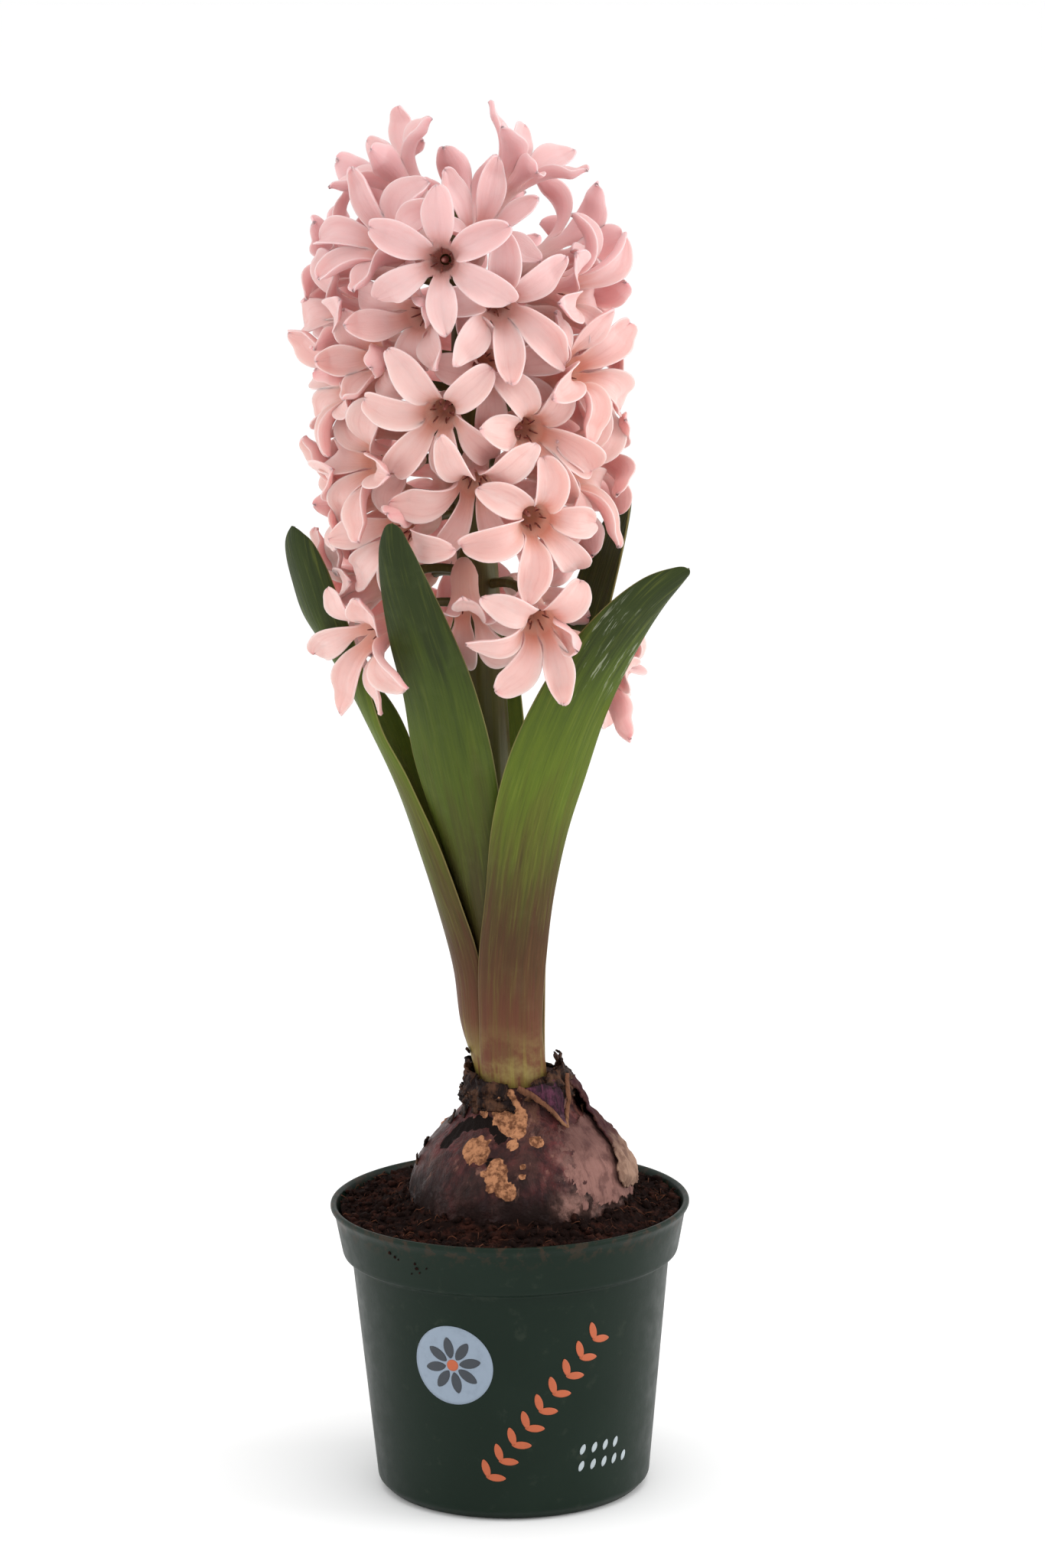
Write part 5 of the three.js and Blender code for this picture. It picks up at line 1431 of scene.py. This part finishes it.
# Flowers: forty-four waxy pink bells. Each is one sheet, a tube that splits into six thick
# lobes, the outer three rolled far back. Pale margins, rosy tips and a peachy throat.
THROAT_RADIUS_MIDDLE = 4.15
TEPALS = 6
TEPAL_LENGTH = 18.4
TEPAL_BASE_HALF_WIDTH, TEPAL_HALF_WIDTH, TEPAL_WIDEST = 1.6, 3.9, 0.6
TEPAL_TIP_BLUNT, TEPAL_TIP_ROUND = 1.9, 0.65
TEPAL_CHANNEL = 0.26
TEPAL_START_ANGLE, TEPAL_LAST_ANGLE = 20, 172
OUTER_WHORL_ANGLE, INNER_WHORL_ANGLE = 132, 104
CROWN_OPENS = 0.66
ANGLE_SWAY, LEAN_SWAY, LENGTH_SWAY = 15, 5, 0.07
ANGLE_BEAT, LEAN_BEAT, LENGTH_BEAT = 2.4, 1.7, 4.1
SWING_SETS_IN = 0.5
TEPAL_LINE_STEPS = 30
BEND_TURNS = (0, -24, 24, -48, 44, -70)
BEND_SWINGS = (0, 12, -12, 24, -24)
LENGTH_SHARES = (1, 0.84, 0.68)
BEND_MISS = 0.06
TUBE_ROWS = [
    (0, -0.5), (1.1, -0.35), (1.75, 0.5), (2.55, 2), (3.1, 4), (3.0, 6.4), (3.05, 8.6), (3.5, 10.6),
    (THROAT_RADIUS_MIDDLE, 12),
]
LOBE_ROWS = 22
BLOOM_COLUMNS = 12
BLOOM_THICKNESS = 0.85
MARGIN_SHARE = 0.34
LOBE_SEED = 7
TUBE_WALL_SHARE = 0.75
TUBE_MIDDLE, TUBE_REACH = 4, 6
GROOVE_DEPTH, GROOVE_WIDTH = 0.24, 0.16
# Between what ends each lobe's own form is drawn, in the order of the draws.
LOBE_FORM = {
    "wide": (0.96, 1.1), "twist": (-0.55, 0.55), "hood": (0.4, 3.4), "roll": (0.05, 0.75),
    "phase": (0, 6.3), "flutter": (0.25, 0.85), "point": (0.75, 1.15), "seed": (0, 40),
}


def tepal_half_width(s):
    width = TEPAL_BASE_HALF_WIDTH + (TEPAL_HALF_WIDTH - TEPAL_BASE_HALF_WIDTH) * smooth(s / TEPAL_WIDEST)
    end = max(0, (s - TEPAL_WIDEST) / (1 - TEPAL_WIDEST))
    return width * max(0, 1 - end ** TEPAL_TIP_BLUNT) ** TEPAL_TIP_ROUND


def tepal_line(end_angle, length):
    """The middle of a lobe in the plane of its floret's axis: radius, height and angle."""
    radius, height = THROAT_RADIUS_MIDDLE, TUBE_LENGTH
    line = []
    for k in range(TEPAL_LINE_STEPS + 1):
        angle = TEPAL_START_ANGLE + (end_angle - TEPAL_START_ANGLE) * smooth(k / TEPAL_LINE_STEPS)
        line.append(Vector((radius, height, math.radians(angle))))
        radius += length / TEPAL_LINE_STEPS * math.sin(math.radians(angle))
        height += length / TEPAL_LINE_STEPS * math.cos(math.radians(angle))
    return line


def ring_way(place, turn):
    """The way out from a floret's axis, at a turn round it."""
    return place["u"] * math.cos(turn) + place["v"] * math.sin(turn)


def tepal_spot(place, line, middle, swing, s, side_way, lift):
    """A spot on a lobe: at a share s of its length, moved sideways and towards its inner face."""
    at = min(s, 1) * TEPAL_LINE_STEPS
    low = min(int(at), TEPAL_LINE_STEPS - 1)
    radius, height, angle = line[low].lerp(line[low + 1], at - low)
    turn = math.radians(middle + swing * s * smooth(s / SWING_SETS_IN))
    out = ring_way(place, turn)
    side = place["axis"].cross(out)
    normal = place["axis"] * math.sin(angle) - out * math.cos(angle)
    way = place["axis"] * height + out * radius + side * side_way + normal * lift
    return place["foot"] + way * place["size"]


def read_bend(place, seat, points):
    """The bend that the solid floret's lobe was given, found by comparing its own corners."""
    number = seat % TEPALS
    whorl = INNER_WHORL_ANGLE if number % 2 else OUTER_WHORL_ANGLE
    whorl *= CROWN_OPENS if place["size"] < 1 else 1
    sway = ANGLE_SWAY * math.sin(ANGLE_BEAT * seat)
    length = TEPAL_LENGTH * (1 + LENGTH_SWAY * math.sin(LENGTH_BEAT * seat))
    lean = LEAN_SWAY * math.sin(LEAN_BEAT * seat)
    half = tepal_half_width(0.6)
    tests = [(1, 0, 0)] + [(0.6, half * w, TEPAL_CHANNEL * half) for w in (-1, 1)]
    best = None
    for length_share in LENGTH_SHARES:
        for turn in BEND_TURNS:
            line = tepal_line(min(TEPAL_LAST_ANGLE, whorl + sway + turn), length * length_share)
            for swing in BEND_SWINGS:
                miss = 0
                for s, side_way, lift in tests:
                    spot = tepal_spot(
                        place, line, number * TEPAL_SPACING, swing + lean, s, side_way, lift
                    )
                    miss = max(miss, points.find(spot * MM)[2] / MM)
                if best is None or miss < best[0]:
                    best = (miss, line, swing + lean)
    if best[0] > BEND_MISS:
        raise RuntimeError(f"a lobe's bend can't be read: off by {best[0]:.2f} mm")
    return best[1:]


def lobe_lift(form, s, across, half, free):
    """How far a lobe bends out of its flat strip: its trough, groove, curl, waves and hood."""
    sector = THROAT_RADIUS_MIDDLE * (1 - math.cos(math.radians(TEPAL_SPACING / 2 * across)))
    channel = TEPAL_CHANNEL * half * across * across
    edge = form["roll"] * half * across ** 4
    groove = -GROOVE_DEPTH * math.exp(-((across / GROOVE_WIDTH) ** 2)) * smooth(s / 0.3)
    wave = form["flutter"] * across * across * math.sin(form["phase"] + 7 * s + 1.3 * across)
    tip = form["hood"] * smooth((s - 0.78) / 0.22)
    bow = half * across * form["twist"] * s + groove + edge + wave + tip
    return sector * (1 - free) + channel * free + bow * free


def bloom(name, place, owner, node, draws):
    """One flower as a single sheet: six strips that share the tube and part at its mouth."""
    points = KDTree(len(node.data.vertices))
    for k, vertex in enumerate(node.data.vertices):
        points.insert(vertex.co, k)
    points.balance()
    work = bmesh.new()
    petal = work.loops.layers.float_vector.new("petal")
    weights = work.verts.layers.deform.verify()
    mouth = len(TUBE_ROWS) - 1
    rows = mouth + LOBE_ROWS
    root = THROAT_RADIUS_MIDDLE * math.sin(math.radians(TEPAL_SPACING / 2))
    for number in range(TEPALS):
        line, swing = read_bend(place, owner * TEPALS + number, points)
        middle = number * TEPAL_SPACING
        form = {trait: draws.uniform(*ends) for trait, ends in LOBE_FORM.items()}
        grid = bmesh.ops.create_grid(work, x_segments=BLOOM_COLUMNS, y_segments=rows, size=1)
        spots = grid["verts"]
        for face in {face for vert in spots for face in vert.link_faces}:
            for loop in face.loops:
                loop[petal] = (loop.vert.co.x, (loop.vert.co.y + 1) / 2 * rows, form["seed"])
        for vert in spots:
            row = round((vert.co.y + 1) / 2 * rows)
            across = math.sin(math.pi / 2 * vert.co.x)
            if row <= mouth:
                radius, height = TUBE_ROWS[row]
                turn = math.radians(middle + across * TEPAL_SPACING / 2)
                out = ring_way(place, turn)
                way = place["axis"] * height + out * radius
                vert.co = (place["foot"] + way * place["size"]) * MM
                vert[weights][0] = TUBE_WALL_SHARE
                continue
            q = (row - mouth) / LOBE_ROWS
            s = 1 - (1 - q) ** 1.3
            free = smooth(s / 0.2)
            half = root + (tepal_half_width(s) * form["wide"] - root) * free
            half *= 1 - (1 - form["point"]) * 0.5 * smooth((s - 0.6) / 0.4)
            lift = lobe_lift(form, s, across, half, free)
            spot = tepal_spot(place, line, middle, swing, s, half * across, lift)
            vert.co = spot * MM
            thin = 1 - (1 - MARGIN_SHARE) * abs(across) ** 3
            vert[weights][0] = max(thin, smooth((s - 0.86) / 0.14) * 0.8)
    bmesh.ops.remove_doubles(work, verts=work.verts, dist=1e-5)
    foot = place["foot"] * MM
    tube = [f for f in work.faces if (f.calc_center_median() - foot).length < TUBE_REACH * MM]
    face_outwards(work, foot + place["axis"] * TUBE_MIDDLE * MM, tube)
    piece = keep(name, work, [back_finish, face_finish])
    piece.vertex_groups.new(name="wall")
    wall = piece.modifiers.new("wall", "SOLIDIFY")
    wall.thickness = BLOOM_THICKNESS * place["size"] * MM
    wall.offset = 0
    wall.vertex_group = "wall"
    wall.thickness_vertex_group = 0
    wall.material_offset = 1
    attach(piece, "root")
    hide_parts(node.name)


def waxy(name, deep, throat, body, tip, rim, line_colour):
    """Petal wax: colour by the share of the lobe's length, streaked, with a pale rim."""
    made, tree, shader = finish(
        name, body, Roughness=0.42, IOR=1.4, Subsurface_Weight=0.55,
        Subsurface_Radius=(1, 0.62, 0.58), Subsurface_Scale=2.0 * MM, Sheen_Weight=0.06,
    )
    apart = add_node(tree, "SeparateXYZ", {0: attribute(tree, "petal").outputs["Vector"]})
    across, along, seed = (apart.outputs[k] for k in range(3))
    mouth = len(TUBE_ROWS) - 1
    share = add_node(tree, "MapRange", {0: along, 1: mouth - 4, 2: mouth + LOBE_ROWS}).outputs[0]
    tone = ramp(
        tree, share,
        [(0, deep), (0.1, deep), (0.18, throat), (0.42, body), (0.9, body), (0.98, tip), (1, tip)],
    )
    spread = maths(tree, "MULTIPLY", across, 9.0)
    flow = add_node(tree, "CombineXYZ", {0: along, 1: spread, 2: seed}).outputs[0]
    lines = streaked(tree, flow, 0.9, 9.0)
    broad = streaked(tree, flow, 0.16, 3.0)
    tone = tinted(tree, tone, step_up(tree, lines, 0.5, 0.72), 0.42, line_colour)
    tone = tinted(tree, tone, step_up(tree, broad, 0.52, 0.7), 0.35, rim)
    edge = step_up(tree, maths(tree, "ABSOLUTE", across), 0.5, 1.0)
    in_lobe = step_up(tree, along, mouth, mouth + 4)
    tone = tinted(tree, tone, maths(tree, "MULTIPLY", edge, in_lobe), 0.5, rim)
    place = own_place(tree)
    wash = mottled(tree, place, 34, 0.42, 0.66)[0]
    tone = tinted(tree, tone, wash, 0.35, rim)
    height = height_of(tree, place)
    cool = maths(tree, "MULTIPLY", step_up(tree, height, 270 * MM, 325 * MM), 0.45)
    tone = blend_colours(tree, cool, tone, paint(214, 180, 186))
    tree.links.new(tone, shader.inputs["Base Color"])
    cells = noise_height(tree, place, 1100.0, 2.0)
    bump(tree, shader, maths(tree, "ADD", lines, maths(tree, "MULTIPLY", cells, 0.4)), 0.1)
    return made


face_finish = waxy(
    "petal_face", paint(246, 200, 180), paint(226, 162, 140), paint(228, 184, 177),
    paint(230, 170, 168), paint(240, 213, 208), paint(212, 152, 146),
)
back_finish = waxy(
    "petal_back", paint(222, 172, 156), paint(224, 170, 160), paint(226, 174, 171),
    paint(222, 146, 148), paint(236, 206, 202), paint(210, 146, 148),
)
draws = random.Random(LOBE_SEED)
for number, place in enumerate(florets):
    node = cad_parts[f"floret_{number + 1:02d}"]
    bloom(f"bloom_{number + 1:02d}", place, number, node, draws)


# Stamens: six dark maroon anthers on short threads in every throat, round a pale style.
ANTHER_LENGTH, ANTHER_WIDTH = 2.5, 0.52
ANTHER_RADIUS, ANTHER_HEIGHT = 2.3, 11.2
ANTHER_LEAN = 36
ANTHER_TURN_SWAY, ANTHER_RISE_SWAY = 8, 0.7
ANTHER_LEAN_LESS, ANTHER_LEAN_MORE = 10, 14
THREAD_RADIUS, THREAD_CIRCLE, THREAD_DROP = 0.22, 2.7, 3.4
STYLE_HEIGHT = 8.2
STYLE_RADII = (0.9, 0.8, 0.4)
stamens_work = bmesh.new()
threads_work = bmesh.new()
for place in florets:
    for number in range(TEPALS):
        sway = draws.uniform(-ANTHER_TURN_SWAY, ANTHER_TURN_SWAY)
        turn = math.radians(number * TEPAL_SPACING + sway)
        out = ring_way(place, turn)
        rise = ANTHER_HEIGHT + draws.uniform(-ANTHER_RISE_SWAY, ANTHER_RISE_SWAY)
        lean = math.radians(ANTHER_LEAN + draws.uniform(-ANTHER_LEAN_LESS, ANTHER_LEAN_MORE))
        way = place["axis"] * math.cos(lean) + out * math.sin(lean)
        centre = place["foot"] + (place["axis"] * rise + out * ANTHER_RADIUS) * place["size"]
        turned = way.to_track_quat("Z", "Y").to_matrix().to_4x4()
        shape = Matrix.Diagonal((ANTHER_WIDTH / 2, ANTHER_WIDTH / 2.6, ANTHER_LENGTH / 2, 1))
        bmesh.ops.create_uvsphere(
            stamens_work, u_segments=8, v_segments=6, radius=MM,
            matrix=Matrix.Translation(centre * MM) @ turned @ shape,
        )
        thread_way = place["axis"] * (rise - THREAD_DROP) + out * THREAD_CIRCLE
        wall_spot = place["foot"] + thread_way * place["size"]
        strand(threads_work, [wall_spot * MM, centre * MM], [THREAD_RADIUS * MM] * 2, 5)
    style_top = place["foot"] + place["axis"] * STYLE_HEIGHT * place["size"]
    style = [place["foot"] * MM, place["foot"].lerp(style_top, 0.5) * MM, style_top * MM]
    strand(threads_work, style, [radius * MM for radius in STYLE_RADII], 8)
anther_finish, tree, shader = finish("anther", paint(74, 30, 36), Roughness=0.6)
pollen, pollen_height = mottled(tree, own_place(tree), 1500, 0.45, 0.65)
tree.links.new(
    tinted(tree, paint(104, 46, 44), pollen, 0.7, paint(156, 100, 76)),
    shader.inputs["Base Color"],
)
bump(tree, shader, pollen_height, 0.2)
anthers = keep("anthers", stamens_work, [anther_finish])
thread_finish, tree, shader = finish("stamen_thread", paint(206, 140, 132), Roughness=0.5)
tint, _ = mottled(tree, own_place(tree), 500, 0.4, 0.7)
tree.links.new(
    blend_colours(tree, tint, paint(212, 150, 142), paint(176, 104, 100)), shader.inputs["Base Color"]
)
bmesh.ops.recalc_face_normals(threads_work, faces=threads_work.faces)
threads = keep("stamen_threads", threads_work, [thread_finish])
for piece in (anthers, threads):
    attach(piece, "root")
